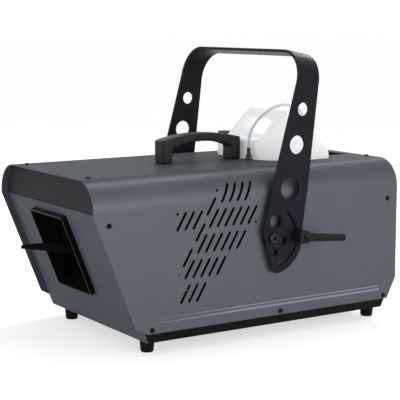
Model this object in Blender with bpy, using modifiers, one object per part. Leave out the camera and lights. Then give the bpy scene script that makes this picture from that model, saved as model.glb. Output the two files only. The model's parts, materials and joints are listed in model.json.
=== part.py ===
"""Snow machine: a blower in a sheet-metal case, with a lift-out fluid tank and a hanging yoke.

Metres, +Z up, floor at z = 0. The mouth faces -Y and the tank stands at the +Y end.
Every piece is its own object. Cutters sit in a collection of their own.
"""

import math

import bmesh
import bpy
from mathutils import Matrix

# Fits and stock
FIT = 0.0003
SHEET = 0.0012
HOLE_PLAY = 0.0003
ROUND_STEPS = 16
CORNER_STEPS = 6
LONG_ARC_STEPS = 12

# Case, seen from the side: a brow, a slanted front, a flat top and a cut rear corner
BODY_LENGTH = 0.490
BODY_WIDTH = 0.275
BODY_TOP = 0.230
TOP_RADIUS = 0.038
BROW_DEPTH = 0.0425
TOE_HEIGHT = 0.040
TOE_SETBACK = 0.058
TOE_NOSE = 0.0174
SKIRT_HEIGHT = 0.030
REAR_NOTCH_RUN = 0.015
REAR_NOTCH_RISE = 0.0295
FRONT_RECESS = 0.0095
REAR_RECESS = 0.004
TRAY_WALL = 0.028

# Feet
FOOT_HEIGHT = 0.018
FOOT_TOP_RADIUS = 0.010
FOOT_TREAD_RADIUS = 0.0083
FOOT_RECESS_RADIUS = 0.004
FOOT_RECESS_DEPTH = 0.004
FOOT_SIDE_INSET = 0.030
FRONT_FOOT_SETBACK = 0.092
REAR_FOOT_SETBACK = 0.0275

# Slanted vent slots: row number from the top, first slot's place and how many slots
VENT_ROWS = (
    (0, -0.0495, 4),
    (1, -0.1180, 3),
    (1, -0.0685, 6),
    (2, -0.0866, 6),
    (3, -0.1060, 5),
    (4, -0.1127, 3),
)
VENT_TOP_ROW = 0.2036
VENT_ROW_PITCH = 0.0318
VENT_PITCH = 0.0122
VENT_HEIGHT = 0.0246
VENT_LEAN = 0.0125
VENT_WIDTH = 0.0040

# Mouth duct, square to the slanted front and left of its middle
MOUTH_X = -0.0149
MOUTH_HEIGHT = 0.1175
DUCT_WIDTH = 0.098
DUCT_HEIGHT = 0.1167
DUCT_SETBACK = 0.0017
DUCT_LENGTH = 0.0833
DUCT_WALL = 0.002
DUCT_RADIUS = 0.005
SCREEN_DEPTH = 0.060
SCREEN_THICKNESS = 0.002
SCREEN_BAR = 0.004
SCREEN_COLUMNS = 5
SCREEN_ROWS = 6

# Sock arm: a tapered blade that reaches out of the mouth on a cross strap
ARM_TOP = 0.1364
ARM_REACH = 0.0345
ARM_THICKNESS = 0.003
ARM_ROOT_DEPTH = 0.023
ARM_TIP_DEPTH = 0.005
STRAP_DEPTH = 0.033
STRAP_THICKNESS = 0.003
STRAP_MARGIN = 0.003

# Blower
WHEEL_RADIUS = 0.046
WHEEL_RING = 0.008
WHEEL_WIDTH = 0.068
WHEEL_DISC = 0.003
WHEEL_BLADES = 16
WHEEL_SLOT_SHARE = 0.72
WHEEL_STEPS = 32
HUB_RADIUS = 0.009
HUB_LENGTH = 0.020
SCROLL_GAP = 0.0065
SCROLL_WALL = 0.0015
SCROLL_GROWTH = 0.021
SCROLL_SIDE_GAP = 0.0045
SCROLL_STEPS = 25
OUTLET_RUN = 0.006
OUTLET_DROP = 0.0425
INLET_RADIUS = 0.036
MOTOR_RADIUS = 0.030
MOTOR_LENGTH = 0.058
SHAFT_RADIUS = 0.004
BRACKET_SHEET = 0.002
BRACKET_WIDTH = 0.060
BRACKET_FOOT = 0.024
BRACKET_MOTOR_GAP = 0.006

# Spray nozzle on the duct's rear plate
NOZZLE_RADIUS = 0.006
NOZZLE_LENGTH = 0.016
NOZZLE_STEM = 0.010
NOZZLE_EDGE = 0.012

# Tank: a can with a gable on top, a low shoulder on its left and a hand hole under its ridge
TANK_FRONT = 0.0665
TANK_REAR = 0.178
TANK_WIDTH = 0.144
TANK_FRONT_LEFT_RADIUS = 0.020
TANK_FRONT_RIGHT_RADIUS = 0.070
TANK_REAR_RADIUS = 0.012
TANK_RIDGE_Y = 0.1145
TANK_RIDGE_Z = 0.300
TANK_RIDGE_FLAT = 0.007
TANK_FRONT_EAVE = 0.255
TANK_REAR_EAVE = 0.2345
TANK_SEAM_DROP = 0.002
TANK_SIDE_SEAM_GAP = 0.002
TANK_SHOULDER = 0.255
TANK_SHOULDER_WIDTH = 0.029
TANK_SHOULDER_RADIUS = 0.008
TANK_LEFT_RADIUS = 0.010
TANK_RIGHT_RADIUS = 0.028
TANK_WALL = 0.002
TANK_PLAY = 0.002
HAND_HOLE_LOW = 0.262
HAND_HOLE_HIGH = 0.284
HAND_HOLE_END = 0.010
HAND_HOLE_WIDTH = 0.067
HAND_HOLE_RADIUS = 0.009
HAND_HOLE_FLARE = 0.004
HAND_GRIP = 0.028
FINGER_NOTCH_WIDTH = 0.082
FINGER_NOTCH_REAR = 0.229
FINGER_NOTCH_DEPTH = 0.034

# Filler neck and screw cap on the tank's shoulder
CAP_SETBACK = 0.0132
CAP_RADIUS = 0.011
CAP_HEIGHT = 0.009
CAP_WALL = 0.002
CAP_STEPS = 24
NECK_RADIUS = 0.0085
NECK_BORE = 0.0065

# Feed tube with its gland on the case and its bung on the tank
TUBE_DIAMETER = 0.004
GLAND_X = 0.027
GLAND_RADIUS = 0.006
GLAND_FLANGE = 0.0014
GLAND_HEIGHT = 0.017
GLAND_TIP_RADIUS = 0.0027
GLAND_TAIL = 0.010
BUNG_X = 0.050
BUNG_Y = 0.141
BUNG_RADIUS = 0.007
BUNG_TOP = 0.281
BUNG_DEPTH = 0.022
TUBE_SAG = (
    (0.028, 0.0640, 0.2660),
    (0.031, 0.0715, 0.2820),
    (0.036, 0.0830, 0.2945),
    (0.041, 0.0960, 0.3035),
    (0.045, 0.1100, 0.3075),
    (0.048, 0.1240, 0.3050),
    (0.0495, 0.1350, 0.2990),
)
TUBE_POINTS = 26

# Hidden tubes: from the gland down to the pump, and from the nozzle down to the pump
SUCTION_FALL = (
    (0.032, 0.0600, 0.2050),
    (0.052, 0.0580, 0.1760),
    (0.080, 0.0640, 0.1250),
)
SUCTION_BEND = ((-0.004, 0.019, 0.0820), (0, 0.022, 0.0560))
SUCTION_POINTS = 22
DELIVERY_FALL = (
    (0.014, 0.0947, 0.2060),
    (0.044, 0.1027, 0.2020),
    (0.068, 0.1107, 0.1620),
    (0.088, 0.1207, 0.1120),
)
DELIVERY_BEND = ((-0.002, -0.041, 0.0650), (0, -0.025, 0.0470))
DELIVERY_POINTS = 26

# Carry handle
HANDLE_LENGTH = 0.136
HANDLE_WIDTH = 0.0235
HANDLE_POST = 0.0190
HANDLE_END_RISE = 0.031
HANDLE_MID_RISE = 0.040
HANDLE_GRIP = 0.0115
HANDLE_TANK_GAP = 0.0035
HANDLE_END_RADIUS = 0.009
HANDLE_BEVEL = 0.0025

# Hanging yoke, in its own frame: pivot at the origin, arm along +Z
YOKE_SHEET = 0.004
YOKE_GAP = 0.005
YOKE_RADIUS = 0.042
YOKE_TOP = 0.253
YOKE_CENTRE = 0.0155
YOKE_TOP_WIDTH = 0.035
YOKE_WAIST_WIDTH = 0.057
YOKE_FOOT_WIDTH = 0.065
YOKE_TOP_RUN = 0.211
YOKE_WAIST = 0.070
YOKE_HEEL = 0.007
YOKE_TOE_Y = 0.0084
YOKE_TOE_Z = -0.0435
YOKE_TOE_SPREAD = math.radians(8)
YOKE_SECTOR = 0.0495
YOKE_SECTOR_RISE = 0.0182
YOKE_HOLES = (
    (0.0145, 0.176, 0.0090),
    (0.0145, 0.128, 0.0125),
    (0.0145, 0.069, 0.0150),
    (0.0004, 0.0227, 0.0095),
    (0.0177, -0.0019, 0.0058),
    (0.0073, -0.0188, 0.0048),
)
PIVOT_Y = 0.0198
PIVOT_Z = 0.1388
REST_LEAN = math.radians(11.2)
SLOT_RADIUS = 0.038
SLOT_HALF_ANGLE = math.radians(64)
PIVOT_RADIUS = 0.004
PIVOT_HEAD_RADIUS = 0.007
PIVOT_HEAD = 0.004
PIVOT_NUT = 0.006
SPACER_RADIUS = 0.012
STUD_RADIUS = 0.003
STUD_HEAD_RADIUS = 0.006
STUD_HEAD = 0.004
STUD_SPACER_RADIUS = 0.009
STUD_REACH = 0.013
BACKING_SHEET = 0.002
BACKING_MARGIN = 0.018
BACKING_HEIGHT = 0.070

# Clamp levers
LEVER_HUB_RADIUS = 0.0085
LEVER_BOSS_RADIUS = 0.0095
LEVER_HUB = 0.010
LEVER_BOSS = 0.011
LEVER_LENGTH = 0.062
LEVER_SPLAY = math.radians(14)
LEVER_DROOP = math.radians(3.5)
LEVER_DEPTH = 0.0095
LEVER_THICKNESS = 0.007

# Pump, supply and board inside the case
PUMP_INSET = 0.0375
PUMP_Y = 0.010
PUMP_RADIUS = 0.017
PUMP_LENGTH = 0.078
PUMP_FOOT = 0.006
PUMP_PORT_RADIUS = 0.003
PUMP_PORT = 0.012
SUPPLY_Y = 0.140
SUPPLY_WIDTH = 0.044
SUPPLY_LENGTH = 0.060
SUPPLY_HEIGHT = 0.040
SUPPLY_COIL = 0.010
BOARD_Y = 0.128
BOARD_WIDTH = 0.042
BOARD_LENGTH = 0.090
BOARD_SHEET = 0.0016
STANDOFF = 0.006
STANDOFF_RADIUS = 0.003
STANDOFF_STEPS = 8
BOARD_EDGE = 0.006
BOARD_PARTS = (
    (0.008, -0.022, 0.020, 0.030, 0.016),
    (-0.008, 0.016, 0.018, 0.022, 0.012),
    (0.012, 0.020, 0.010, 0.034, 0.008),
)

# Rear panel fittings
INLET_INSET = 0.0425
INLET_Z = 0.085
INLET_FLANGE_WIDTH = 0.050
INLET_FLANGE_HEIGHT = 0.028
INLET_FLANGE = 0.002
INLET_BODY_WIDTH = 0.031
INLET_BODY_HEIGHT = 0.023
INLET_DEPTH = 0.024
INLET_WALL = 0.0025
SWITCH_INSET = 0.0425
SWITCH_Z = 0.132
SWITCH_FLANGE_WIDTH = 0.024
SWITCH_FLANGE_HEIGHT = 0.032
SWITCH_FLANGE = 0.002
SWITCH_WALL = 0.002
SWITCH_DEPTH = 0.022
SWITCH_RIM = 0.003
ROCKER_PLAY = 0.0009
ROCKER_RISE = 0.0042
ROCKER_VALLEY = 0.0016
ROCKER_TAIL = 0.004
ROCKER_PIN_RADIUS = 0.0015
ROCKER_PIN_STEPS = 8
ROCKER_REST = math.radians(8)
KNOB_INSET = 0.0425
KNOB_Z = 0.132
KNOB_RADIUS = 0.010
KNOB_TOP_RADIUS = 0.0085
KNOB_HEIGHT = 0.014
KNOB_STEM_RADIUS = 0.003
KNOB_STEM = 0.010
KNOB_NOTCH = 0.0012
KNOB_STEPS = 20
POT_RADIUS = 0.009
POT_LENGTH = 0.011
SOCKET_INSET = 0.0425
SOCKET_Z = 0.085
SOCKET_FLANGE_WIDTH = 0.026
SOCKET_FLANGE_HEIGHT = 0.031
SOCKET_FLANGE = 0.002
SOCKET_BARREL_RADIUS = 0.0115
SOCKET_BORE_RADIUS = 0.0090
SOCKET_DEPTH = 0.022
SOCKET_BORE_DEPTH = 0.016

# Places that follow from the sizes above
FRONT = -BODY_LENGTH / 2
REAR = BODY_LENGTH / 2
HALF_WIDTH = BODY_WIDTH / 2
INNER_HALF = HALF_WIDTH - SHEET - FIT
KINK_HEIGHT = BODY_TOP - BROW_DEPTH
SLANT = math.atan2(TOE_SETBACK, KINK_HEIGHT - TOE_HEIGHT)
REAR_KINK = SKIRT_HEIGHT + REAR_NOTCH_RISE
REAR_SLANT = math.atan2(REAR_NOTCH_RUN, REAR_NOTCH_RISE)
TRAY_BOTTOM = FOOT_HEIGHT + FIT
TRAY_FLOOR = TRAY_BOTTOM + SHEET
MOUTH_Y = FRONT + (KINK_HEIGHT - MOUTH_HEIGHT) * math.tan(SLANT)
PANEL_DEPTH = FRONT_RECESS * math.cos(SLANT)
SCROLL_START = WHEEL_RADIUS + SCROLL_GAP + SCROLL_WALL
SCROLL_END = SCROLL_START + SCROLL_GROWTH
SCROLL_HALF = WHEEL_WIDTH / 2 + SCROLL_SIDE_GAP + SCROLL_WALL
DUCT_END = DUCT_SETBACK + DUCT_LENGTH
WHEEL_DEPTH = DUCT_END + FIT + OUTLET_RUN + SCROLL_START
WHEEL_RISE = -OUTLET_DROP
WELL_FLOOR = TRAY_FLOOR + FIT + SHEET
WELL_HALF = TANK_WIDTH / 2 + TANK_PLAY
WELL_TOP = BODY_TOP - SHEET - FIT
TANK_BOTTOM = WELL_FLOOR + FIT
TANK_SEAM = TANK_REAR_EAVE - TANK_SEAM_DROP
TANK_GABLE_LEFT = TANK_SHOULDER_WIDTH - TANK_WIDTH / 2
TANK_SIDE_SEAM = TANK_GABLE_LEFT - TANK_SIDE_SEAM_GAP
HAND_HOLE_LEFT = TANK_GABLE_LEFT + HAND_HOLE_END
HAND_HOLE_RIGHT = HAND_HOLE_LEFT + HAND_HOLE_WIDTH
GRIP_FRONT = TANK_RIDGE_Y - HAND_GRIP / 2
GRIP_REAR = TANK_RIDGE_Y + HAND_GRIP / 2
CAP_TOP = TANK_SHOULDER + FIT + CAP_HEIGHT
CAP_PLACE = (TANK_GABLE_LEFT - TANK_SHOULDER_WIDTH / 2, TANK_FRONT + CAP_SETBACK, 0)
NECK_FOOT = TANK_SHOULDER - 2 * TANK_WALL
BAY_MIDDLE = (WELL_HALF + SHEET + INNER_HALF) / 2
SUPPLY_X = BAY_MIDDLE
BOARD_X = -BAY_MIDDLE
PUMP_X = HALF_WIDTH - PUMP_INSET
INLET_X = HALF_WIDTH - INLET_INSET
SWITCH_X = HALF_WIDTH - SWITCH_INSET
KNOB_X = KNOB_INSET - HALF_WIDTH
SOCKET_X = SOCKET_INSET - HALF_WIDTH
YOKE_INNER = HALF_WIDTH + YOKE_GAP
YOKE_OUTER = YOKE_INNER + YOKE_SHEET
STUD_Y = PIVOT_Y + SLOT_RADIUS
BACKING_INNER = INNER_HALF - BACKING_SHEET
PANEL_REAR = REAR - REAR_RECESS
PANEL_INSIDE = PANEL_REAR - SHEET
ARM_TIP_Y = FRONT - ARM_REACH
KNOB_END = PANEL_REAR + FIT + KNOB_HEIGHT
NOZZLE_SEAT = DUCT_END - DUCT_WALL - FIT
NOZZLE_RISE = DUCT_HEIGHT / 2 - DUCT_WALL - NOZZLE_EDGE
PUMP_AXIS_Z = TRAY_FLOOR + FIT + PUMP_FOOT + PUMP_RADIUS
PUMP_PORT_END = PUMP_LENGTH / 2 + PUMP_PORT
GLAND_SEAT = BODY_TOP + FIT
CENTRE_Y = (ARM_TIP_Y + max(KNOB_END, REAR)) / 2

# How an outline's own plane is laid in the body: outline x, outline y, outline normal
PLANES = {
    "X": Matrix(((0, 0, 1, 0), (1, 0, 0, 0), (0, 1, 0, 0), (0, 0, 0, 1))),
    "Y": Matrix(((1, 0, 0, 0), (0, 0, 1, 0), (0, 1, 0, 0), (0, 0, 0, 1))),
    "Z": Matrix.Identity(4),
}

# Finishes: colour, roughness and metallic value
FINISHES = {
    "grey_paint": ((0.115, 0.127, 0.147), 0.42, 0.35),
    "dark_paint": ((0.045, 0.043, 0.048), 0.50, 0.20),
    "black_paint": ((0.010, 0.010, 0.012), 0.50, 0.10),
    "yoke_black": ((0.026, 0.026, 0.030), 0.45, 0.20),
    "black_plastic": ((0.014, 0.014, 0.017), 0.50, 0.0),
    "rubber": ((0.012, 0.012, 0.012), 0.80, 0.0),
    "tank_white": ((0.800, 0.810, 0.820), 0.40, 0.0),
    "tube_blue": ((0.560, 0.680, 0.760), 0.25, 0.0),
    "steel": ((0.420, 0.420, 0.430), 0.35, 0.90),
    "zinc": ((0.520, 0.530, 0.540), 0.45, 0.80),
    "board_green": ((0.020, 0.120, 0.050), 0.55, 0.0),
}


def clear_scene():
    """Remove what the start file holds."""
    for item in list(bpy.data.objects):
        bpy.data.objects.remove(item, do_unlink=True)


def make_material(name):
    """A Principled material from the table of finishes."""
    colour, roughness, metallic = FINISHES[name]
    material = bpy.data.materials.new(name)
    material.use_nodes = True
    shader = material.node_tree.nodes["Principled BSDF"]
    shader.inputs["Base Color"].default_value = (*colour, 1)
    shader.inputs["Roughness"].default_value = roughness
    shader.inputs["Metallic"].default_value = metallic
    return material


clear_scene()
PARTS = bpy.data.collections.new("snow_machine")
CUTTERS = bpy.data.collections.new("cutters")
bpy.context.scene.collection.children.link(PARTS)
bpy.context.scene.collection.children.link(CUTTERS)
MATERIALS = {name: make_material(name) for name in FINISHES}


def make_empty(name, parent=None, location=(0, 0, 0), rotation=(0, 0, 0)):
    """A frame that pieces are placed in."""
    empty = bpy.data.objects.new(name, None)
    empty.parent = parent
    empty.location = location
    empty.rotation_euler = rotation
    empty.hide_render = True
    PARTS.objects.link(empty)
    return empty


ROOT = make_empty("body_frame", location=(0, -CENTRE_Y, 0))
MOUTH = make_empty("mouth_frame", ROOT, (MOUTH_X, MOUTH_Y, MOUTH_HEIGHT), (SLANT, 0, 0))


def place(name, mesh, finish, parent=ROOT, location=(0, 0, 0), rotation=(0, 0, 0)):
    """Make a named piece from a mesh or a curve."""
    piece = bpy.data.objects.new(name, mesh)
    piece.parent = parent
    piece.location = location
    piece.rotation_euler = rotation
    mesh.materials.append(MATERIALS[finish])
    PARTS.objects.link(piece)
    return piece


def boolean(piece, mesh, operation="DIFFERENCE", parent=None, location=None, rotation=None):
    """Cut a piece, or join to it, with a mesh that sits in the piece's own frame."""
    cutter = bpy.data.objects.new(f"{piece.name}_{operation.lower()}", mesh)
    cutter.parent = parent or piece.parent
    cutter.location = piece.location if location is None else location
    cutter.rotation_euler = piece.rotation_euler if rotation is None else rotation
    cutter.hide_render = True
    cutter.display_type = "WIRE"
    CUTTERS.objects.link(cutter)
    modifier = piece.modifiers.new(operation.title(), "BOOLEAN")
    modifier.operation = operation
    modifier.solver = "EXACT"
    modifier.object = cutter
    return piece


def finish_mesh(mesh):
    """Weld a mesh's loose caps and point its faces outwards."""
    shape = bmesh.new()
    shape.from_mesh(mesh)
    bmesh.ops.remove_doubles(shape, verts=shape.verts, dist=1e-6)
    bmesh.ops.recalc_face_normals(shape, faces=shape.faces)
    shape.to_mesh(mesh)
    shape.free()
    return mesh


def prism(loops, low, high, normal):
    """Extrude flat outlines along X, Y or Z; an outline inside another one is a hole."""
    curve = bpy.data.curves.new("outline", "CURVE")
    curve.dimensions = "2D"
    curve.fill_mode = "BOTH"
    curve.extrude = (high - low) / 2
    for loop in loops:
        spline = curve.splines.new("POLY")
        spline.points.add(len(loop) - 1)
        spline.use_cyclic_u = True
        for point, (across, up) in zip(spline.points, loop):
            point.co = (across, up, 0, 1)
    source = bpy.data.objects.new("outline", curve)
    bpy.context.scene.collection.objects.link(source)
    depsgraph = bpy.context.evaluated_depsgraph_get()
    mesh = bpy.data.meshes.new_from_object(source.evaluated_get(depsgraph))
    bpy.data.objects.remove(source)
    mesh.transform(PLANES[normal] @ Matrix.Translation((0, 0, (low + high) / 2)))
    return finish_mesh(mesh)


def block(low, high):
    """A box between two corners."""
    mesh = bpy.data.meshes.new("block")
    shape = bmesh.new()
    size = [b - a for a, b in zip(low, high)]
    middle = [(a + b) / 2 for a, b in zip(low, high)]
    bmesh.ops.create_cube(shape, size=1, matrix=Matrix.LocRotScale(middle, None, size))
    shape.to_mesh(mesh)
    shape.free()
    return mesh


def rod(radius, low, high, steps=ROUND_STEPS):
    """A cylinder along Z."""
    mesh = bpy.data.meshes.new("rod")
    shape = bmesh.new()
    middle = Matrix.Translation((0, 0, (low + high) / 2))
    ends = {"radius1": radius, "radius2": radius, "depth": high - low}
    bmesh.ops.create_cone(shape, cap_ends=True, segments=steps, matrix=middle, **ends)
    shape.to_mesh(mesh)
    shape.free()
    return mesh


def turned(name, profile, finish, ring=False, steps=ROUND_STEPS, **placing):
    """Turn a profile of (radius, height) points, listed top to bottom, about Z."""
    mesh = bpy.data.meshes.new(name)
    shape = bmesh.new()
    verts = [shape.verts.new((radius, 0, height)) for radius, height in profile]
    for first, second in zip(verts, verts[1:]):
        shape.edges.new((first, second))
    if ring:
        shape.edges.new((verts[-1], verts[0]))
    shape.to_mesh(mesh)
    shape.free()
    piece = place(name, mesh, finish, **placing)
    screw = piece.modifiers.new("Turn", "SCREW")
    screw.steps = steps
    screw.render_steps = steps
    screw.use_merge_vertices = True
    screw.merge_threshold = 1e-5
    return piece


def arc(centre, radius, start, end, steps=CORNER_STEPS):
    """Points along an arc, angles in radians."""
    turns = [start + (end - start) * k / steps for k in range(steps + 1)]
    return [(centre[0] + radius * math.cos(a), centre[1] + radius * math.sin(a)) for a in turns]


def ring_of_points(centre, radius, steps=ROUND_STEPS):
    """A closed circle as a loop of points."""
    return arc(centre, radius, 0, 2 * math.pi * (steps - 1) / steps, steps - 1)


def rectangle(left, right, low, high, radius=0.0):
    """A rectangle, with round corners where a radius is given."""
    if radius == 0:
        return [(left, low), (right, low), (right, high), (left, high)]
    quarter = math.pi / 2
    corners = (
        ((left + radius, low + radius), 2),
        ((right - radius, low + radius), 3),
        ((right - radius, high - radius), 0),
        ((left + radius, high - radius), 1),
    )
    points = []
    for centre, turn in corners:
        points += arc(centre, radius, turn * quarter, (turn + 1) * quarter, CORNER_STEPS // 2)
    return points


def arch(inset, bottom):
    """The case's front view, drawn in by an inset: upright sides and a round-cornered top."""
    half = HALF_WIDTH - inset
    top = BODY_TOP - inset
    radius = TOP_RADIUS - inset
    points = [(-half, bottom)]
    points += arc((-half + radius, top - radius), radius, math.pi, math.pi / 2)
    points += arc((half - radius, top - radius), radius, math.pi / 2, 0)
    points.append((half, bottom))
    return points


def front_line(height):
    """Where the case's front edge stands at a height below the kink."""
    return FRONT + (KINK_HEIGHT - height) * math.tan(SLANT)


def rear_line(height):
    """Where the rear panel's outer face stands at a height."""
    return PANEL_REAR - max(0.0, REAR_KINK - height) * math.tan(REAR_SLANT)


def side_outline():
    """The case's side view."""
    return [
        (FRONT, BODY_TOP + SHEET),
        (FRONT, KINK_HEIGHT),
        (FRONT + TOE_SETBACK, TOE_HEIGHT),
        (FRONT + TOE_SETBACK + TOE_NOSE, SKIRT_HEIGHT),
        (REAR - REAR_NOTCH_RUN, SKIRT_HEIGHT),
        (REAR, REAR_KINK),
        (REAR, BODY_TOP + SHEET),
    ]


def vent_outlines():
    """Slanted slots with pointed ends, in rows."""
    outlines = []
    for row, first, count in VENT_ROWS:
        height = VENT_TOP_ROW - row * VENT_ROW_PITCH
        for k in range(count):
            middle = first + k * VENT_PITCH
            half = VENT_WIDTH / 2
            low = (middle - VENT_LEAN / 2, height - VENT_HEIGHT / 2)
            high = (middle + VENT_LEAN / 2, height + VENT_HEIGHT / 2)
            outlines.append([
                low,
                (low[0] + half, low[1] + half),
                (high[0] + half, high[1] - half),
                high,
                (high[0] - half, high[1] - half),
                (low[0] - half, low[1] + half),
            ])
    return outlines


def tank_front_at(across):
    """The tank's front face at a distance to the right of its middle, on its round plan."""
    flat = TANK_WIDTH / 2 - TANK_FRONT_RIGHT_RADIUS
    past = max(0.0, across - flat)
    return TANK_FRONT + TANK_FRONT_RIGHT_RADIUS - math.sqrt(TANK_FRONT_RIGHT_RADIUS ** 2 - past ** 2)


def tank_plan(grow):
    """The tank's plan: a wide round corner at the front right, small ones elsewhere."""
    half = TANK_WIDTH / 2 + grow
    front = TANK_FRONT - grow
    rear = TANK_REAR + grow
    left = TANK_FRONT_LEFT_RADIUS + grow
    right = TANK_FRONT_RIGHT_RADIUS + grow
    small = max(TANK_REAR_RADIUS + grow, TANK_WALL)
    points = arc((-half + left, front + left), left, math.pi, 1.5 * math.pi, CORNER_STEPS)
    points += arc((half - right, front + right), right, 1.5 * math.pi, 2 * math.pi)
    points += arc((half - small, rear - small), small, 0, math.pi / 2, CORNER_STEPS // 2)
    points += arc((-half + small, rear - small), small, math.pi / 2, math.pi, CORNER_STEPS // 2)
    return points


GLAND_Y = tank_front_at(GLAND_X) - TANK_PLAY - GLAND_RADIUS - FIT


def notch_outline():
    """The finger notch behind the tank, drawn in plan and reaching into the tank's own cut-out."""
    half = FINGER_NOTCH_WIDTH / 2
    return rectangle(-half, half, TANK_REAR - TANK_REAR_RADIUS, FINGER_NOTCH_REAR)


def build_case():
    """The bent cover, the two front panels, the rear panel and the base tray."""
    section = arch(0, SKIRT_HEIGHT) + list(reversed(arch(SHEET, SKIRT_HEIGHT)))
    shell = place("outer_shell", prism([section], FRONT, REAR, "Y"), "grey_paint")
    boolean(shell, prism([side_outline()], -BODY_WIDTH, BODY_WIDTH, "X"), "INTERSECT")
    side_holes = vent_outlines()
    side_holes.append(ring_of_points((PIVOT_Y, PIVOT_Z), PIVOT_RADIUS + HOLE_PLAY))
    side_holes.append(ring_of_points((STUD_Y, PIVOT_Z), STUD_RADIUS + HOLE_PLAY))
    boolean(shell, prism(side_holes, -BODY_WIDTH, BODY_WIDTH, "X"))
    low = BODY_TOP - 4 * SHEET
    high = BODY_TOP + SHEET
    boolean(shell, prism([tank_plan(TANK_PLAY)], low, high, "Z"))
    boolean(shell, prism([notch_outline()], low, high, "Z"))
    gland_hole = ring_of_points((GLAND_X, GLAND_Y), GLAND_TIP_RADIUS + HOLE_PLAY)
    boolean(shell, prism([gland_hole], low, high, "Z"))

    brow = arch(SHEET + FIT, KINK_HEIGHT + FIT)
    brow_face = FRONT + FRONT_RECESS
    place("brow_panel", prism([brow], brow_face, brow_face + SHEET, "Y"), "dark_paint")

    rise = math.cos(SLANT)
    sink = PANEL_DEPTH * math.sin(SLANT)
    top = (KINK_HEIGHT - MOUTH_HEIGHT - sink) / rise - SHEET * math.tan(SLANT) - FIT
    bottom = (TRAY_BOTTOM - MOUTH_HEIGHT - sink) / rise
    outline = rectangle(-INNER_HALF - MOUTH_X, INNER_HALF - MOUTH_X, bottom, top)
    half_width = DUCT_WIDTH / 2 + FIT
    half_height = DUCT_HEIGHT / 2 + FIT
    opening = rectangle(-half_width, half_width, -half_height, half_height, DUCT_RADIUS + FIT)
    panel = prism([outline, opening], PANEL_DEPTH, PANEL_DEPTH + SHEET, "Y")
    place("front_panel", panel, "grey_paint", MOUTH)

    step = SHEET / math.cos(REAR_SLANT)
    bend = SHEET * math.tan(REAR_SLANT / 2)
    profile = [
        (PANEL_REAR, BODY_TOP),
        (PANEL_REAR, REAR_KINK),
        (rear_line(TRAY_BOTTOM), TRAY_BOTTOM),
        (rear_line(TRAY_BOTTOM) - step, TRAY_BOTTOM),
        (PANEL_INSIDE, REAR_KINK + bend),
        (PANEL_INSIDE, BODY_TOP),
    ]
    rear = place("rear_panel", prism([profile], -HALF_WIDTH, HALF_WIDTH, "X"), "dark_paint")
    limit = arch(SHEET + FIT, 0)
    boolean(rear, prism([limit], 0, BODY_LENGTH, "Y"), "INTERSECT")
    boolean(rear, prism(rear_openings(), PANEL_INSIDE - SHEET, PANEL_REAR + SHEET, "Y"))

    build_tray()


def rear_openings():
    """Holes in the rear panel for its fittings."""
    return [
        around(INLET_X, INLET_Z, INLET_BODY_WIDTH, INLET_BODY_HEIGHT),
        around(SWITCH_X, SWITCH_Z, switch_width(), switch_height()),
        ring_of_points((KNOB_X, KNOB_Z), KNOB_STEM_RADIUS + HOLE_PLAY),
        ring_of_points((SOCKET_X, SOCKET_Z), SOCKET_BARREL_RADIUS + HOLE_PLAY),
    ]


def around(across, up, width, height):
    """A rectangular hole that clears a body of a given size."""
    half = width / 2 + FIT
    tall = height / 2 + FIT
    return rectangle(across - half, across + half, up - tall, up + tall)


def switch_width():
    """The switch body's width behind its flange."""
    return SWITCH_FLANGE_WIDTH - 2 * SWITCH_RIM


def switch_height():
    """The switch body's height behind its flange."""
    return SWITCH_FLANGE_HEIGHT - 2 * SWITCH_RIM


def tray_outline(inset, bottom, top):
    """The tray's side view: its end walls lie against the front and rear panels."""
    front_gap = FRONT_RECESS + (SHEET + FIT + inset) / math.cos(SLANT)
    rear_gap = (SHEET + FIT + inset) / math.cos(REAR_SLANT)
    return [
        (front_line(top) + front_gap, top),
        (front_line(bottom) + front_gap, bottom),
        (rear_line(bottom) - rear_gap, bottom),
        (rear_line(top) - rear_gap, top),
    ]


def build_tray():
    """An open tray that everything stands on, with its walls just inside the cover."""
    top = TRAY_BOTTOM + TRAY_WALL
    solid = prism([tray_outline(0, TRAY_BOTTOM, top)], -INNER_HALF, INNER_HALF, "X")
    tray = place("base_tray", solid, "black_paint")
    inner = INNER_HALF - SHEET
    hollow = tray_outline(SHEET, TRAY_FLOOR, top + SHEET)
    boolean(tray, prism([hollow], -inner, inner, "X"))


def build_feet():
    """Four tapered rubber feet with a screw recess underneath."""
    profile = [
        (0, FOOT_HEIGHT),
        (FOOT_TOP_RADIUS, FOOT_HEIGHT),
        (FOOT_TREAD_RADIUS, 0),
        (FOOT_RECESS_RADIUS, 0),
        (FOOT_RECESS_RADIUS, FOOT_RECESS_DEPTH),
        (0, FOOT_RECESS_DEPTH),
    ]
    rows = {"front": FRONT + FRONT_FOOT_SETBACK, "rear": REAR - REAR_FOOT_SETBACK}
    for end, along in rows.items():
        for side, sign in (("left", -1), ("right", 1)):
            across = sign * (HALF_WIDTH - FOOT_SIDE_INSET)
            turned(f"foot_{end}_{side}", profile, "rubber", location=(across, along, 0))


def scroll_path(inset):
    """The blower's side view in the mouth's frame: a spiral that opens into a straight outlet."""
    start = math.pi
    end = 2.5 * math.pi
    points = []
    for k in range(SCROLL_STEPS + 1):
        share = k / SCROLL_STEPS
        angle = start + (end - start) * share
        radius = SCROLL_START + SCROLL_GROWTH * share - inset
        points.append((WHEEL_DEPTH + radius * math.cos(angle), WHEEL_RISE + radius * math.sin(angle)))
    outlet = DUCT_END + FIT - 2 * inset
    points.append((outlet, WHEEL_RISE + SCROLL_END - inset))
    points.append((outlet, WHEEL_RISE + inset))
    points.append((WHEEL_DEPTH - SCROLL_START + inset, WHEEL_RISE + inset))
    return points[1:]


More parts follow.
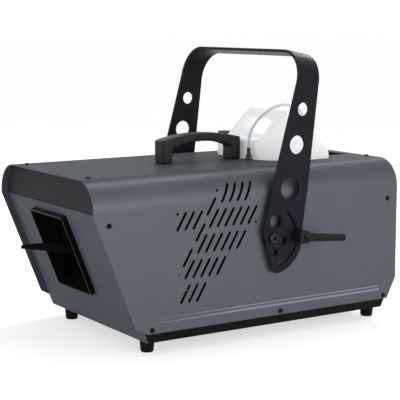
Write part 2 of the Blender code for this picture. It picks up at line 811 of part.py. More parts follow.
def outlet_outline():
    """The blower outlet as it meets the duct's rear plate."""
    half = SCROLL_HALF - SCROLL_WALL
    low = WHEEL_RISE + SCROLL_WALL
    return rectangle(-half, half, low, WHEEL_RISE + SCROLL_END - SCROLL_WALL)


def build_mouth():
    """The duct, its foam screen, the strap and the sock arm, and the spray nozzle."""
    half = DUCT_WIDTH / 2
    tall = DUCT_HEIGHT / 2
    outer = rectangle(-half, half, -tall, tall, DUCT_RADIUS)
    duct = place("mouth_duct", prism([outer], DUCT_SETBACK, DUCT_END, "Y"), "black_paint", MOUTH)
    half -= DUCT_WALL
    tall -= DUCT_WALL
    inner = rectangle(-half, half, -tall, tall, DUCT_RADIUS - DUCT_WALL)
    boolean(duct, prism([inner], DUCT_SETBACK - DUCT_WALL, DUCT_END - DUCT_WALL, "Y"))
    holes = [outlet_outline(), ring_of_points((0, NOZZLE_RISE), NOZZLE_RADIUS / 2 + HOLE_PLAY)]
    boolean(duct, prism(holes, DUCT_END - 2 * DUCT_WALL, DUCT_END + DUCT_WALL, "Y"))

    half -= FIT
    tall -= FIT
    frame = [rectangle(-half, half, -tall, tall, DUCT_RADIUS - DUCT_WALL)]
    frame += screen_gaps(half, tall)
    screen = prism(frame, SCREEN_DEPTH, SCREEN_DEPTH + SCREEN_THICKNESS, "Y")
    place("foam_screen", screen, "steel", MOUTH)

    build_arm(half)
    build_nozzle()


def screen_gaps(half, tall):
    """The screen's square gaps, in columns and rows."""
    wide = (2 * half - SCREEN_BAR) / SCREEN_COLUMNS
    high = (2 * tall - SCREEN_BAR) / SCREEN_ROWS
    gaps = []
    for column in range(SCREEN_COLUMNS):
        left = -half + SCREEN_BAR + column * wide
        for row in range(SCREEN_ROWS):
            low = -tall + SCREEN_BAR + row * high
            gaps.append(rectangle(left, left + wide - SCREEN_BAR, low, low + high - SCREEN_BAR))
    return gaps


def from_mouth(depth, rise):
    """Body place (y, z) of a point at a depth into the mouth and a rise up its slant."""
    along = MOUTH_Y + depth * math.cos(SLANT) - rise * math.sin(SLANT)
    return along, MOUTH_HEIGHT + depth * math.sin(SLANT) + rise * math.cos(SLANT)


def in_mouth(height, depth):
    """Body place (y, z) of a point at a height on a plane at a depth into the mouth."""
    rise = (height - MOUTH_HEIGHT - depth * math.sin(SLANT)) / math.cos(SLANT)
    return from_mouth(depth, rise)[0], rise


def build_arm(half):
    """A strap across the duct and the tapered blade that it carries."""
    root = STRAP_DEPTH - FIT
    root_top, rise_top = in_mouth(ARM_TOP, root)
    root_low, rise_low = in_mouth(ARM_TOP - ARM_ROOT_DEPTH, root)
    blade = [
        (root_top, ARM_TOP),
        (root_low, ARM_TOP - ARM_ROOT_DEPTH),
        (ARM_TIP_Y + ARM_TIP_DEPTH / 2, ARM_TOP - ARM_TIP_DEPTH),
    ]
    tip = (ARM_TIP_Y + ARM_TIP_DEPTH / 2, ARM_TOP - ARM_TIP_DEPTH / 2)
    blade += arc(tip, ARM_TIP_DEPTH / 2, 1.5 * math.pi, 0.5 * math.pi)[1:]
    place("sock_arm", prism([blade], -ARM_THICKNESS / 2, ARM_THICKNESS / 2, "X"), "black_paint")
    strap = rectangle(-half, half, rise_low - STRAP_MARGIN, rise_top + STRAP_MARGIN)
    plate = prism([strap], STRAP_DEPTH, STRAP_DEPTH + STRAP_THICKNESS, "Y")
    place("arm_strap", plate, "black_paint", MOUTH)


def build_nozzle():
    """The spray nozzle, whose stem passes through the duct's rear plate."""
    profile = [
        (0, NOZZLE_LENGTH),
        (NOZZLE_RADIUS / 2, NOZZLE_LENGTH),
        (NOZZLE_RADIUS, NOZZLE_LENGTH / 2),
        (NOZZLE_RADIUS, 0),
        (NOZZLE_RADIUS / 2, 0),
        (NOZZLE_RADIUS / 2, -NOZZLE_STEM),
        (0, -NOZZLE_STEM),
    ]
    turned("spray_nozzle", profile, "zinc", parent=MOUTH, location=(0, NOZZLE_SEAT, NOZZLE_RISE),
           rotation=(math.pi / 2, 0, 0))


def build_blower():
    """The scroll housing, the bladed wheel, its motor and the bracket that carries them."""
    half = SCROLL_HALF
    scroll = place("blower_scroll", prism([scroll_path(0)], -half, half, "X"), "black_plastic", MOUTH)
    inside = half - SCROLL_WALL
    boolean(scroll, prism([scroll_path(SCROLL_WALL)], -inside, inside, "X"))
    axis = (WHEEL_DEPTH, WHEEL_RISE)
    boolean(scroll, prism([ring_of_points(axis, INLET_RADIUS, WHEEL_STEPS)], 0, 2 * half, "X"))
    shaft_hole = ring_of_points(axis, SHAFT_RADIUS + 2 * HOLE_PLAY)
    boolean(scroll, prism([shaft_hole], -2 * half, 0, "X"))

    low = -WHEEL_WIDTH / 2
    high = WHEEL_WIDTH / 2
    bore = SHAFT_RADIUS + HOLE_PLAY
    profile = [
        (WHEEL_RADIUS, high),
        (WHEEL_RADIUS, low),
        (bore, low),
        (bore, low + HUB_LENGTH),
        (HUB_RADIUS, low + HUB_LENGTH),
        (HUB_RADIUS, low + WHEEL_DISC),
        (WHEEL_RADIUS - WHEEL_RING, low + WHEEL_DISC),
        (WHEEL_RADIUS - WHEEL_RING, high),
    ]
    along_x = {"parent": MOUTH, "location": (0, *axis), "rotation": (0, math.pi / 2, 0)}
    wheel = turned("blower_wheel", profile, "black_plastic", ring=True, steps=WHEEL_STEPS, **along_x)
    boolean(wheel, wheel_slots(low + 2 * WHEEL_DISC, high - WHEEL_DISC))

    face = -half - FIT
    profile = [
        (0, low + HUB_LENGTH - WHEEL_DISC),
        (SHAFT_RADIUS, low + HUB_LENGTH - WHEEL_DISC),
        (SHAFT_RADIUS, face),
        (MOTOR_RADIUS, face),
        (MOTOR_RADIUS, face - MOTOR_LENGTH),
        (0, face - MOTOR_LENGTH),
    ]
    turned("blower_motor", profile, "steel", **along_x)

    wheel_y, wheel_z = from_mouth(WHEEL_DEPTH, WHEEL_RISE)
    foot = TRAY_FLOOR + FIT
    top = wheel_z - MOTOR_RADIUS - BRACKET_MOTOR_GAP
    seat = MOUTH_X + face
    angle = [
        (seat, top),
        (seat, foot),
        (seat - BRACKET_FOOT, foot),
        (seat - BRACKET_FOOT, foot + BRACKET_SHEET),
        (seat - BRACKET_SHEET, foot + BRACKET_SHEET),
        (seat - BRACKET_SHEET, top),
    ]
    front = wheel_y - BRACKET_WIDTH / 2
    place("blower_bracket", prism([angle], front, front + BRACKET_WIDTH, "Y"), "zinc")


def wheel_slots(low, high):
    """Cutters that leave the wheel's blades standing between them."""
    mesh = bpy.data.meshes.new("wheel_slots")
    shape = bmesh.new()
    middle = WHEEL_RADIUS - WHEEL_RING / 2
    width = 2 * math.pi * middle / WHEEL_BLADES * WHEEL_SLOT_SHARE
    size = (2 * WHEEL_RING, width, high - low)
    for k in range(WHEEL_BLADES):
        turn = Matrix.Rotation(2 * math.pi * k / WHEEL_BLADES, 4, "Z")
        spot = Matrix.LocRotScale((middle, 0, (low + high) / 2), None, size)
        bmesh.ops.create_cube(shape, size=1, matrix=turn @ spot)
    shape.to_mesh(mesh)
    shape.free()
    return mesh


def tank_slope(wall, inward, eave, inset):
    """The lower and the upper end of a gable slope above a wall, drawn in by an inset."""
    run = abs(TANK_RIDGE_Y - wall) - TANK_RIDGE_FLAT / 2
    steepness = (TANK_RIDGE_Z - eave) / run
    drop = inset * math.hypot(1, steepness)
    reach = (TANK_RIDGE_Z - inset - eave + drop) / steepness
    low_end = (wall + inward * inset, eave + inset * steepness - drop)
    return [low_end, (wall + inward * reach, TANK_RIDGE_Z - inset)]


def tank_side(inset):
    """The tank's side view, drawn in by an inset: front wall, gable with a flat ridge, rear wall."""
    points = [(TANK_FRONT + inset, TANK_BOTTOM + inset), (TANK_REAR - inset, TANK_BOTTOM + inset)]
    points += tank_slope(TANK_REAR, -1, TANK_REAR_EAVE, inset)
    points += reversed(tank_slope(TANK_FRONT, 1, TANK_FRONT_EAVE, inset))
    return points


def tank_end_view(inset):
    """The tank's front view: a low shoulder on the left, then the ridge with its round ends."""
    half = TANK_WIDTH / 2 + SHEET - inset
    top = TANK_RIDGE_Z + SHEET - inset
    shoulder = TANK_SHOULDER - inset
    gable = TANK_GABLE_LEFT + inset
    edge = TANK_SHOULDER_RADIUS - inset
    left = TANK_LEFT_RADIUS - inset
    right = TANK_RIGHT_RADIUS - inset
    points = [(-half, 0)]
    points += arc((-half + edge, shoulder - edge), edge, math.pi, math.pi / 2, CORNER_STEPS)
    points.append((gable, shoulder))
    points += arc((gable + left, top - left), left, math.pi, math.pi / 2, CORNER_STEPS)
    points += arc((half - right, top - right), right, math.pi / 2, 0)
    points.append((half, 0))
    return points


def hand_hole(grow):
    """The hand hole's outline, seen from the front."""
    low = HAND_HOLE_LOW - grow
    high = HAND_HOLE_HIGH + grow
    return rectangle(HAND_HOLE_LEFT - grow, HAND_HOLE_RIGHT + grow, low, high, HAND_HOLE_RADIUS + grow)


def solid_tank(name, inset, finish):
    """The tank as a solid, drawn in by an inset, with its hand hole and a scoop on each side of it."""
    half = TANK_WIDTH / 2
    tank = place(name, prism([tank_side(inset)], -half, half, "X"), finish)
    boolean(tank, prism([tank_plan(-inset)], 0, 2 * BODY_TOP, "Z"), "INTERSECT")
    boolean(tank, prism([tank_end_view(inset)], 0, BODY_LENGTH, "Y"), "INTERSECT")
    boolean(tank, prism([hand_hole(inset)], 0, BODY_LENGTH, "Y"))
    scoop = hand_hole(HAND_HOLE_FLARE + inset)
    boolean(tank, prism([scoop], 0, GRIP_FRONT + inset, "Y"))
    boolean(tank, prism([scoop], GRIP_REAR - inset, BODY_LENGTH, "Y"))
    return tank


def as_mesh(piece):
    """Take a piece's evaluated shape as a plain mesh and remove the piece."""
    depsgraph = bpy.context.evaluated_depsgraph_get()
    mesh = bpy.data.meshes.new_from_object(piece.evaluated_get(depsgraph))
    bpy.data.objects.remove(piece)
    return finish_mesh(mesh)


def part_at_seams(mesh):
    """Part the moulded tank into the can below, the low shoulder with the neck, and the head with the grip."""
    mesh.materials.clear()
    wide = BODY_WIDTH
    deep = BODY_LENGTH
    upper = TANK_SEAM + FIT
    boxes = {
        "fluid_tank": ((-wide, 0, 0), (wide, deep, TANK_SEAM)),
        "tank_shoulder": ((-wide, 0, upper), (TANK_SIDE_SEAM - FIT, deep, deep)),
        "tank_head": ((TANK_SIDE_SEAM, 0, upper), (wide, deep, deep)),
    }
    for name, (low, high) in boxes.items():
        share = place(name, mesh.copy(), "tank_white")
        boolean(share, block(low, high), "INTERSECT")


def build_tank():
    """The well in the case, the hollow tank, its cap, the tube bung, the gland and the feed tube."""
    rear = TANK_REAR + TANK_PLAY
    wall = prism([tank_plan(TANK_PLAY + SHEET)], TRAY_FLOOR + FIT, WELL_TOP, "Z")
    well = place("tank_well", wall, "black_paint")
    shelf = WELL_TOP - FINGER_NOTCH_DEPTH
    half = FINGER_NOTCH_WIDTH / 2 + TANK_PLAY
    back = FINGER_NOTCH_REAR + TANK_PLAY
    pocket = block((-half - SHEET, rear - SHEET, shelf - SHEET), (half + SHEET, back + SHEET, WELL_TOP))
    boolean(well, pocket, "UNION")
    boolean(well, prism([tank_plan(TANK_PLAY)], WELL_FLOOR, WELL_TOP + SHEET, "Z"))
    boolean(well, block((-half, rear - 2 * SHEET, shelf), (half, back, WELL_TOP + SHEET)))

    cavity = as_mesh(solid_tank("tank_cavity", TANK_WALL, "tank_white"))
    tank = solid_tank("whole_tank", 0, "tank_white")
    neck_top = CAP_TOP - CAP_WALL - FIT
    boolean(tank, rod(NECK_RADIUS, NECK_FOOT, neck_top), "UNION", None, CAP_PLACE, (0, 0, 0))
    boolean(tank, cavity)
    boolean(tank, rod(NECK_BORE, NECK_FOOT, CAP_TOP), "DIFFERENCE", None, CAP_PLACE, (0, 0, 0))
    bung_place = (BUNG_X, BUNG_Y, 0)
    bung_low = BUNG_TOP - BUNG_DEPTH
    bung_hole = rod(BUNG_RADIUS + HOLE_PLAY, bung_low, BUNG_TOP + TANK_WALL)
    boolean(tank, bung_hole, "DIFFERENCE", None, bung_place, (0, 0, 0))
    part_at_seams(as_mesh(tank))

    bore = NECK_RADIUS + HOLE_PLAY
    profile = [
        (0, CAP_TOP),
        (CAP_RADIUS - CAP_WALL / 2, CAP_TOP),
        (CAP_RADIUS, CAP_TOP - CAP_WALL / 2),
        (CAP_RADIUS, CAP_TOP - CAP_HEIGHT),
        (bore, CAP_TOP - CAP_HEIGHT),
        (bore, CAP_TOP - CAP_WALL),
        (0, CAP_TOP - CAP_WALL),
    ]
    turned("tank_cap", profile, "black_plastic", steps=CAP_STEPS, location=CAP_PLACE)

    profile = [(0, BUNG_TOP), (BUNG_RADIUS, BUNG_TOP), (BUNG_RADIUS, bung_low + FIT), (0, bung_low + FIT)]
    turned("tube_bung", profile, "rubber", location=bung_place)

    seat = GLAND_SEAT
    tip = seat + GLAND_HEIGHT
    profile = [
        (0, tip),
        (GLAND_TIP_RADIUS, tip),
        (GLAND_TIP_RADIUS, seat + GLAND_HEIGHT / 2),
        (GLAND_RADIUS, seat + GLAND_FLANGE),
        (GLAND_RADIUS, seat),
        (GLAND_TIP_RADIUS, seat),
        (GLAND_TIP_RADIUS, seat - GLAND_TAIL),
        (0, seat - GLAND_TAIL),
    ]
    turned("tube_gland", profile, "black_plastic", location=(GLAND_X, GLAND_Y, 0))
    route = [(GLAND_X, GLAND_Y, tip + FIT), (GLAND_X, GLAND_Y, tip + TUBE_DIAMETER)]
    route += list(TUBE_SAG)
    ends = (2 * TUBE_DIAMETER, TUBE_DIAMETER, FIT)
    route += [(BUNG_X, BUNG_Y, BUNG_TOP + rise) for rise in ends]
    tube("feed_tube", route, TUBE_POINTS, TUBE_DIAMETER, "tube_blue")


def smooth_point(route, share):
    """A point on the smooth curve through a route, at a share of its way."""
    spans = len(route) - 1
    spot = min(share * spans, spans - 1e-9)
    k = int(spot)
    t = spot - k
    before = route[max(k - 1, 0)]
    start = route[k]
    end = route[k + 1]
    after = route[min(k + 2, spans)]
    point = []
    for a, b, c, d in zip(before, start, end, after):
        slope_in = (c - a) / 2
        slope_out = (d - b) / 2
        bend = 2 * b - 2 * c + slope_in + slope_out
        lift = 3 * c - 3 * b - 2 * slope_in - slope_out
        point.append(((bend * t + lift) * t + slope_in) * t + b)
    return point


def tube(name, route, count, diameter, finish):
    """A round tube along the smooth curve through a route."""
    curve = bpy.data.curves.new(name, "CURVE")
    curve.dimensions = "3D"
    curve.bevel_depth = diameter / 2
    curve.bevel_resolution = 2
    curve.use_fill_caps = True
    spline = curve.splines.new("POLY")
    spline.points.add(count - 1)
    for k, point in enumerate(spline.points):
        point.co = (*smooth_point(route, k / (count - 1)), 1)
    return place(name, curve, finish)


def build_handle():
    """The moulded carry handle: two posts and a bowed grip in one piece."""
    rear = TANK_FRONT - HANDLE_TANK_GAP
    front = rear - HANDLE_LENGTH
    base = BODY_TOP + FIT
    middle = (front + rear) / 2
    inner = HANDLE_LENGTH / 2 - HANDLE_POST
    outer = HANDLE_LENGTH / 2
    points = [(middle - outer, base)]
    points += bow(middle, outer, base + HANDLE_END_RISE, base + HANDLE_MID_RISE)
    points += [(rear, base), (middle + inner, base)]
    low_end = base + HANDLE_END_RISE - HANDLE_GRIP
    points += reversed(bow(middle, inner, low_end, base + HANDLE_MID_RISE - HANDLE_GRIP))
    points.append((middle - inner, base))
    half = HANDLE_WIDTH / 2
    handle = place("carry_handle", prism([points], -half, half, "X"), "black_plastic")
    plan = rectangle(-half, half, front, rear, HANDLE_END_RADIUS)
    boolean(handle, prism([plan], BODY_TOP, BODY_TOP + 2 * HANDLE_MID_RISE, "Z"), "INTERSECT")
    bevel = handle.modifiers.new("Round", "BEVEL")
    bevel.width = HANDLE_BEVEL
    bevel.segments = 2
    bevel.limit_method = "ANGLE"
    bevel.angle_limit = math.radians(60)


def bow(middle, half, end_height, mid_height):
    """A shallow arch from end to end."""
    shares = [2 * k / LONG_ARC_STEPS - 1 for k in range(LONG_ARC_STEPS + 1)]
    return [(middle + half * s, mid_height - (mid_height - end_height) * s * s) for s in shares]


def yoke_outline():
    """The yoke's side view in its own frame: a tapered arm on a slotted sector."""
    top_half = YOKE_TOP_WIDTH / 2
    waist_half = YOKE_WAIST_WIDTH / 2
    heel = YOKE_CENTRE - YOKE_FOOT_WIDTH / 2
    sector_start = math.atan2(YOKE_TOE_Z, YOKE_TOE_Y) + YOKE_TOE_SPREAD
    sector_end = math.asin(YOKE_SECTOR_RISE / YOKE_SECTOR)
    top = YOKE_TOP + YOKE_SHEET
    points = [
        (YOKE_CENTRE + top_half, top),
        (YOKE_CENTRE - top_half, top),
        (YOKE_CENTRE - top_half, YOKE_TOP_RUN),
        (YOKE_CENTRE - waist_half, YOKE_WAIST),
        (heel, YOKE_HEEL),
        (YOKE_TOE_Y, YOKE_TOE_Z),
    ]
    points += arc((0, 0), YOKE_SECTOR, sector_start, sector_end, LONG_ARC_STEPS)
    points += [(YOKE_CENTRE + waist_half, YOKE_WAIST), (YOKE_CENTRE + top_half, YOKE_TOP_RUN)]
    return points


def yoke_slot():
    """The curved slot that the clamp stud runs in."""
    half = STUD_RADIUS + HOLE_PLAY
    outer = arc((0, 0), SLOT_RADIUS + half, -SLOT_HALF_ANGLE, SLOT_HALF_ANGLE, LONG_ARC_STEPS)
    inner = arc((0, 0), SLOT_RADIUS - half, SLOT_HALF_ANGLE, -SLOT_HALF_ANGLE, LONG_ARC_STEPS)
    end = (SLOT_RADIUS * math.cos(SLOT_HALF_ANGLE), SLOT_RADIUS * math.sin(SLOT_HALF_ANGLE))
    cap = arc(end, half, SLOT_HALF_ANGLE, SLOT_HALF_ANGLE + math.pi, 4)[1:-1]
    foot = arc((end[0], -end[1]), half, math.pi - SLOT_HALF_ANGLE, 2 * math.pi - SLOT_HALF_ANGLE, 4)[1:-1]
    return outer + cap + inner + foot


def build_yoke():
    """The bent yoke, its pivots and clamps on both sides."""
    section = bent_strip(YOKE_OUTER, YOKE_TOP, YOKE_RADIUS, -YOKE_SECTOR)
    inside = bent_strip(YOKE_INNER, YOKE_TOP - YOKE_SHEET, YOKE_RADIUS - YOKE_SHEET, -YOKE_SECTOR)
    section += reversed(inside)
    turn = {"location": (0, PIVOT_Y, PIVOT_Z), "rotation": (-REST_LEAN, 0, 0)}
    yoke = place("yoke", prism([section], -YOKE_TOP, YOKE_TOP, "Y"), "yoke_black", ROOT, **turn)
    loops = [yoke_outline(), yoke_slot()]
    loops += [ring_of_points((along, up), radius) for along, up, radius in YOKE_HOLES]
    loops.append(ring_of_points((0, 0), PIVOT_RADIUS + HOLE_PLAY))
    boolean(yoke, prism(loops, -BODY_WIDTH, BODY_WIDTH, "X"), "INTERSECT")
    for side, sign in (("left", -1), ("right", 1)):
        build_pivot(side, sign)
        build_clamp(side, sign)


def bent_strip(half, top, radius, bottom):
    """One face of the bent strip, seen from the front."""
    points = [(-half, bottom)]
    points += arc((-half + radius, top - radius), radius, math.pi, math.pi / 2)
    points += arc((half - radius, top - radius), radius, math.pi / 2, 0)
    points.append((half, bottom))
    return points


def build_pivot(side, sign):
    """A shoulder bolt through yoke, spacer, cover and backing plate."""
    turn = {"location": (0, PIVOT_Y, PIVOT_Z), "rotation": (0, sign * math.pi / 2, 0)}
    head = YOKE_OUTER + FIT
    nut = BACKING_INNER - FIT
    profile = [
        (0, head + PIVOT_HEAD),
        (PIVOT_HEAD_RADIUS, head + PIVOT_HEAD),
        (PIVOT_HEAD_RADIUS, head),
        (PIVOT_RADIUS, head),
        (PIVOT_RADIUS, nut),
        (PIVOT_HEAD_RADIUS, nut),
        (PIVOT_HEAD_RADIUS, nut - PIVOT_NUT),
        (0, nut - PIVOT_NUT),
    ]
    turned(f"pivot_bolt_{side}", profile, "steel", **turn)
    turned(f"pivot_spacer_{side}", washer(SPACER_RADIUS, PIVOT_RADIUS), "black_plastic", ring=True, **turn)

    low = PIVOT_Y - BACKING_MARGIN
    high = STUD_Y + BACKING_MARGIN
    tall = BACKING_HEIGHT / 2
    loops = [
        rectangle(low, high, PIVOT_Z - tall, PIVOT_Z + tall),
        ring_of_points((PIVOT_Y, PIVOT_Z), PIVOT_RADIUS + HOLE_PLAY),
        ring_of_points((STUD_Y, PIVOT_Z), STUD_RADIUS + HOLE_PLAY),
    ]
    inner = min(sign * BACKING_INNER, sign * INNER_HALF)
    place(f"backing_plate_{side}", prism(loops, inner, inner + BACKING_SHEET, "X"), "zinc")


def washer(radius, bore):
    """A spacer ring that fills the gap between cover and yoke."""
    low = HALF_WIDTH + FIT
    high = YOKE_INNER - FIT
    hole = bore + HOLE_PLAY
    return [(radius, high), (radius, low), (hole, low), (hole, high)]


def build_clamp(side, sign):
    """The clamp stud, its spacer and the lever that tightens it."""
    turn = {"location": (0, STUD_Y, PIVOT_Z), "rotation": (0, sign * math.pi / 2, 0)}
    head = BACKING_INNER - FIT
    end = YOKE_OUTER + FIT + STUD_REACH
    profile = [
        (0, end),
        (STUD_RADIUS, end),
        (STUD_RADIUS, head),
        (STUD_HEAD_RADIUS, head),
        (STUD_HEAD_RADIUS, head - STUD_HEAD),
        (0, head - STUD_HEAD),
    ]
    turned(f"clamp_stud_{side}", profile, "steel", **turn)
    ring = washer(STUD_SPACER_RADIUS, STUD_RADIUS)
    turned(f"clamp_spacer_{side}", ring, "black_plastic", ring=True, **turn)

    low = YOKE_OUTER + FIT
    shoulder = low + LEVER_HUB
    top = shoulder + LEVER_BOSS
    bore = STUD_RADIUS + HOLE_PLAY
    profile = [
        (0, top),
        (LEVER_BOSS_RADIUS, top),
        (LEVER_BOSS_RADIUS, shoulder),
        (LEVER_HUB_RADIUS, shoulder),
        (LEVER_HUB_RADIUS, low),
        (bore, low),
        (bore, end + FIT),
        (0, end + FIT),
    ]
    lever = turned(f"clamp_lever_{side}", profile, "black_plastic", **turn)
    boolean(lever, lever_arm(), "UNION", ROOT, (sign * (shoulder + LEVER_BOSS / 2), STUD_Y, PIVOT_Z),
            (-LEVER_DROOP, 0, -sign * LEVER_SPLAY))


def lever_arm():
    """The lever's flat arm, pointing back along +Y from inside the boss."""
    start = LEVER_BOSS_RADIUS / 2
    outline = rectangle(-LEVER_THICKNESS / 2, LEVER_THICKNESS / 2, -LEVER_DEPTH / 2, LEVER_DEPTH / 2,
                        LEVER_THICKNESS / 3)
    return prism([outline], start, LEVER_LENGTH, "Y")


def build_inside():
    """The fluid pump, the power supply, the control board and the hidden tubes."""
    floor = TRAY_FLOOR + FIT
    foot = block(
        (PUMP_X - PUMP_RADIUS, PUMP_Y - PUMP_LENGTH / 4, floor),
        (PUMP_X + PUMP_RADIUS, PUMP_Y + PUMP_LENGTH / 4, floor + PUMP_FOOT + PUMP_RADIUS / 2),
    )
    pump = place("fluid_pump", foot, "steel")
    lying = {"location": (PUMP_X, PUMP_Y, PUMP_AXIS_Z), "rotation": (math.pi / 2, 0, 0)}
    boolean(pump, rod(PUMP_RADIUS, -PUMP_LENGTH / 2, PUMP_LENGTH / 2), "UNION", **lying)
    boolean(pump, rod(PUMP_PORT_RADIUS, -PUMP_PORT_END, PUMP_PORT_END), "UNION", **lying)

    wide = SUPPLY_WIDTH / 2
    long = SUPPLY_LENGTH / 2
    core = block(
        (SUPPLY_X - wide, SUPPLY_Y - long, floor),
        (SUPPLY_X + wide, SUPPLY_Y + long, floor + SUPPLY_HEIGHT),
    )
    supply = place("power_supply", core, "steel")
    inset = SUPPLY_COIL
    coil = block(
        (SUPPLY_X - wide + inset, SUPPLY_Y - long - SUPPLY_COIL, floor + inset),
        (SUPPLY_X + wide - inset, SUPPLY_Y + long + SUPPLY_COIL, floor + SUPPLY_HEIGHT - inset),
    )
    boolean(supply, coil, "UNION")
    build_board()
    build_hidden_tubes()


def build_board():
    """The control board on standoffs on the tray floor, beside the tank well."""
    foot = TRAY_FLOOR + FIT
    face = foot + STANDOFF
    top = face + BOARD_SHEET
    wide = BOARD_WIDTH / 2
    long = BOARD_LENGTH / 2
    plate = block((BOARD_X - wide, BOARD_Y - long, face), (BOARD_X + wide, BOARD_Y + long, top))
    board = place("control_board", plate, "board_green")
    for across in (-1, 1):
        for along in (-1, 1):
            spot = (BOARD_X + across * (wide - BOARD_EDGE), BOARD_Y + along * (long - BOARD_EDGE))
            ring = ring_of_points(spot, STANDOFF_RADIUS, STANDOFF_STEPS)
            boolean(board, prism([ring], foot, top - BOARD_SHEET / 2, "Z"), "UNION")
    for across, along, width, length, height in BOARD_PARTS:
        low = (BOARD_X + across - width / 2, BOARD_Y + along - length / 2, top - BOARD_SHEET / 2)
        high = (BOARD_X + across + width / 2, BOARD_Y + along + length / 2, top + height)
        boolean(board, block(low, high), "UNION")


def build_hidden_tubes():
    """The tube that draws fluid down to the pump and the one that feeds the nozzle."""
    tail = GLAND_SEAT - GLAND_TAIL
    stem = NOZZLE_SEAT + NOZZLE_STEM
    rear_port = PUMP_Y + PUMP_PORT_END
    front_port = PUMP_Y - PUMP_PORT_END
    leave = (FIT, TUBE_DIAMETER, 2 * TUBE_DIAMETER)
    arrive = tuple(reversed(leave))
    route = [(GLAND_X, GLAND_Y, tail - gap) for gap in leave]
    route += list(SUCTION_FALL)
    route += [(PUMP_X + x, rear_port + y, z) for x, y, z in SUCTION_BEND]
    route += [(PUMP_X, rear_port + gap, PUMP_AXIS_Z) for gap in arrive]
    tube("suction_tube", route, SUCTION_POINTS, TUBE_DIAMETER, "tube_blue")

    route = [(MOUTH_X, *from_mouth(stem + gap, NOZZLE_RISE)) for gap in leave]
    route += [(MOUTH_X + x, MOUTH_Y + y, z) for x, y, z in DELIVERY_FALL]
    route += [(PUMP_X + x, front_port + y, z) for x, y, z in DELIVERY_BEND]
    route += [(PUMP_X, front_port - gap, PUMP_AXIS_Z) for gap in arrive]
    tube("delivery_tube", route, DELIVERY_POINTS, TUBE_DIAMETER, "tube_blue")


def build_rear_fittings():
    """Power inlet, rocker switch, output knob and remote socket."""
    seat = PANEL_REAR + FIT
    half = INLET_FLANGE_WIDTH / 2
    tall = INLET_FLANGE_HEIGHT / 2
    low = (INLET_X - half, seat, INLET_Z - tall)
    flange = block(low, (INLET_X + half, seat + INLET_FLANGE, INLET_Z + tall))
    inlet = place("power_inlet", flange, "black_plastic")
    half = INLET_BODY_WIDTH / 2
    tall = INLET_BODY_HEIGHT / 2
    low = (INLET_X - half, seat - INLET_DEPTH, INLET_Z - tall)
    boolean(inlet, block(low, (INLET_X + half, seat + INLET_FLANGE / 2, INLET_Z + tall)), "UNION")
    half -= INLET_WALL
    tall -= INLET_WALL
    low = (INLET_X - half, seat - INLET_DEPTH + INLET_WALL, INLET_Z - tall)
    boolean(inlet, block(low, (INLET_X + half, seat + 2 * INLET_FLANGE, INLET_Z + tall)))

    build_switch(seat)
    build_knob(seat)

    half = SOCKET_FLANGE_WIDTH / 2
    tall = SOCKET_FLANGE_HEIGHT / 2
    low = (SOCKET_X - half, seat, SOCKET_Z - tall)
    high = (SOCKET_X + half, seat + SOCKET_FLANGE, SOCKET_Z + tall)
    socket = place("remote_socket", block(low, high), "zinc")
    facing = {"location": (SOCKET_X, seat, SOCKET_Z), "rotation": (-math.pi / 2, 0, 0)}
    boolean(socket, rod(SOCKET_BARREL_RADIUS, -SOCKET_DEPTH, SOCKET_FLANGE / 2), "UNION", **facing)
    boolean(socket, rod(SOCKET_BORE_RADIUS, -SOCKET_BORE_DEPTH, 2 * SOCKET_FLANGE), "DIFFERENCE", **facing)


def build_switch(seat):
    """A rocker switch: a framed body and the rocker that tips in it."""
    half = SWITCH_FLANGE_WIDTH / 2
    tall = SWITCH_FLANGE_HEIGHT / 2
    low = (SWITCH_X - half, seat, SWITCH_Z - tall)
    high = (SWITCH_X + half, seat + SWITCH_FLANGE, SWITCH_Z + tall)
    switch = place("power_switch", block(low, high), "black_plastic")
    half = switch_width() / 2
    tall = switch_height() / 2
    low = (SWITCH_X - half, seat - SWITCH_DEPTH, SWITCH_Z - tall)
    boolean(switch, block(low, (SWITCH_X + half, seat + SWITCH_FLANGE / 2, SWITCH_Z + tall)), "UNION")
    half -= SWITCH_WALL
    tall -= SWITCH_WALL
    low = (SWITCH_X - half, seat - SWITCH_DEPTH + SWITCH_WALL, SWITCH_Z - tall)
    boolean(switch, block(low, (SWITCH_X + half, seat + 2 * SWITCH_FLANGE, SWITCH_Z + tall)))
    axis = (SWITCH_X, seat, SWITCH_Z)
    reach = half + SWITCH_WALL / 2
    pin = prism([ring_of_points((0, 0), ROCKER_PIN_RADIUS, ROCKER_PIN_STEPS)], -reach, reach, "X")
    boolean(switch, pin, "UNION", ROOT, axis, (0, 0, 0))

    width = half - FIT
    reach = tall - ROCKER_PLAY
    outline = [
        (ROCKER_RISE, -reach),
        (ROCKER_VALLEY + ROCKER_PIN_RADIUS, 0),
        (ROCKER_RISE, reach),
        (-ROCKER_TAIL, reach),
        (-ROCKER_TAIL, -reach),
    ]
    hole = ring_of_points((0, 0), ROCKER_PIN_RADIUS + HOLE_PLAY, ROCKER_PIN_STEPS)
    place("switch_rocker", prism([outline, hole], -width, width, "X"), "black_plastic", ROOT, axis,
          (ROCKER_REST, 0, 0))


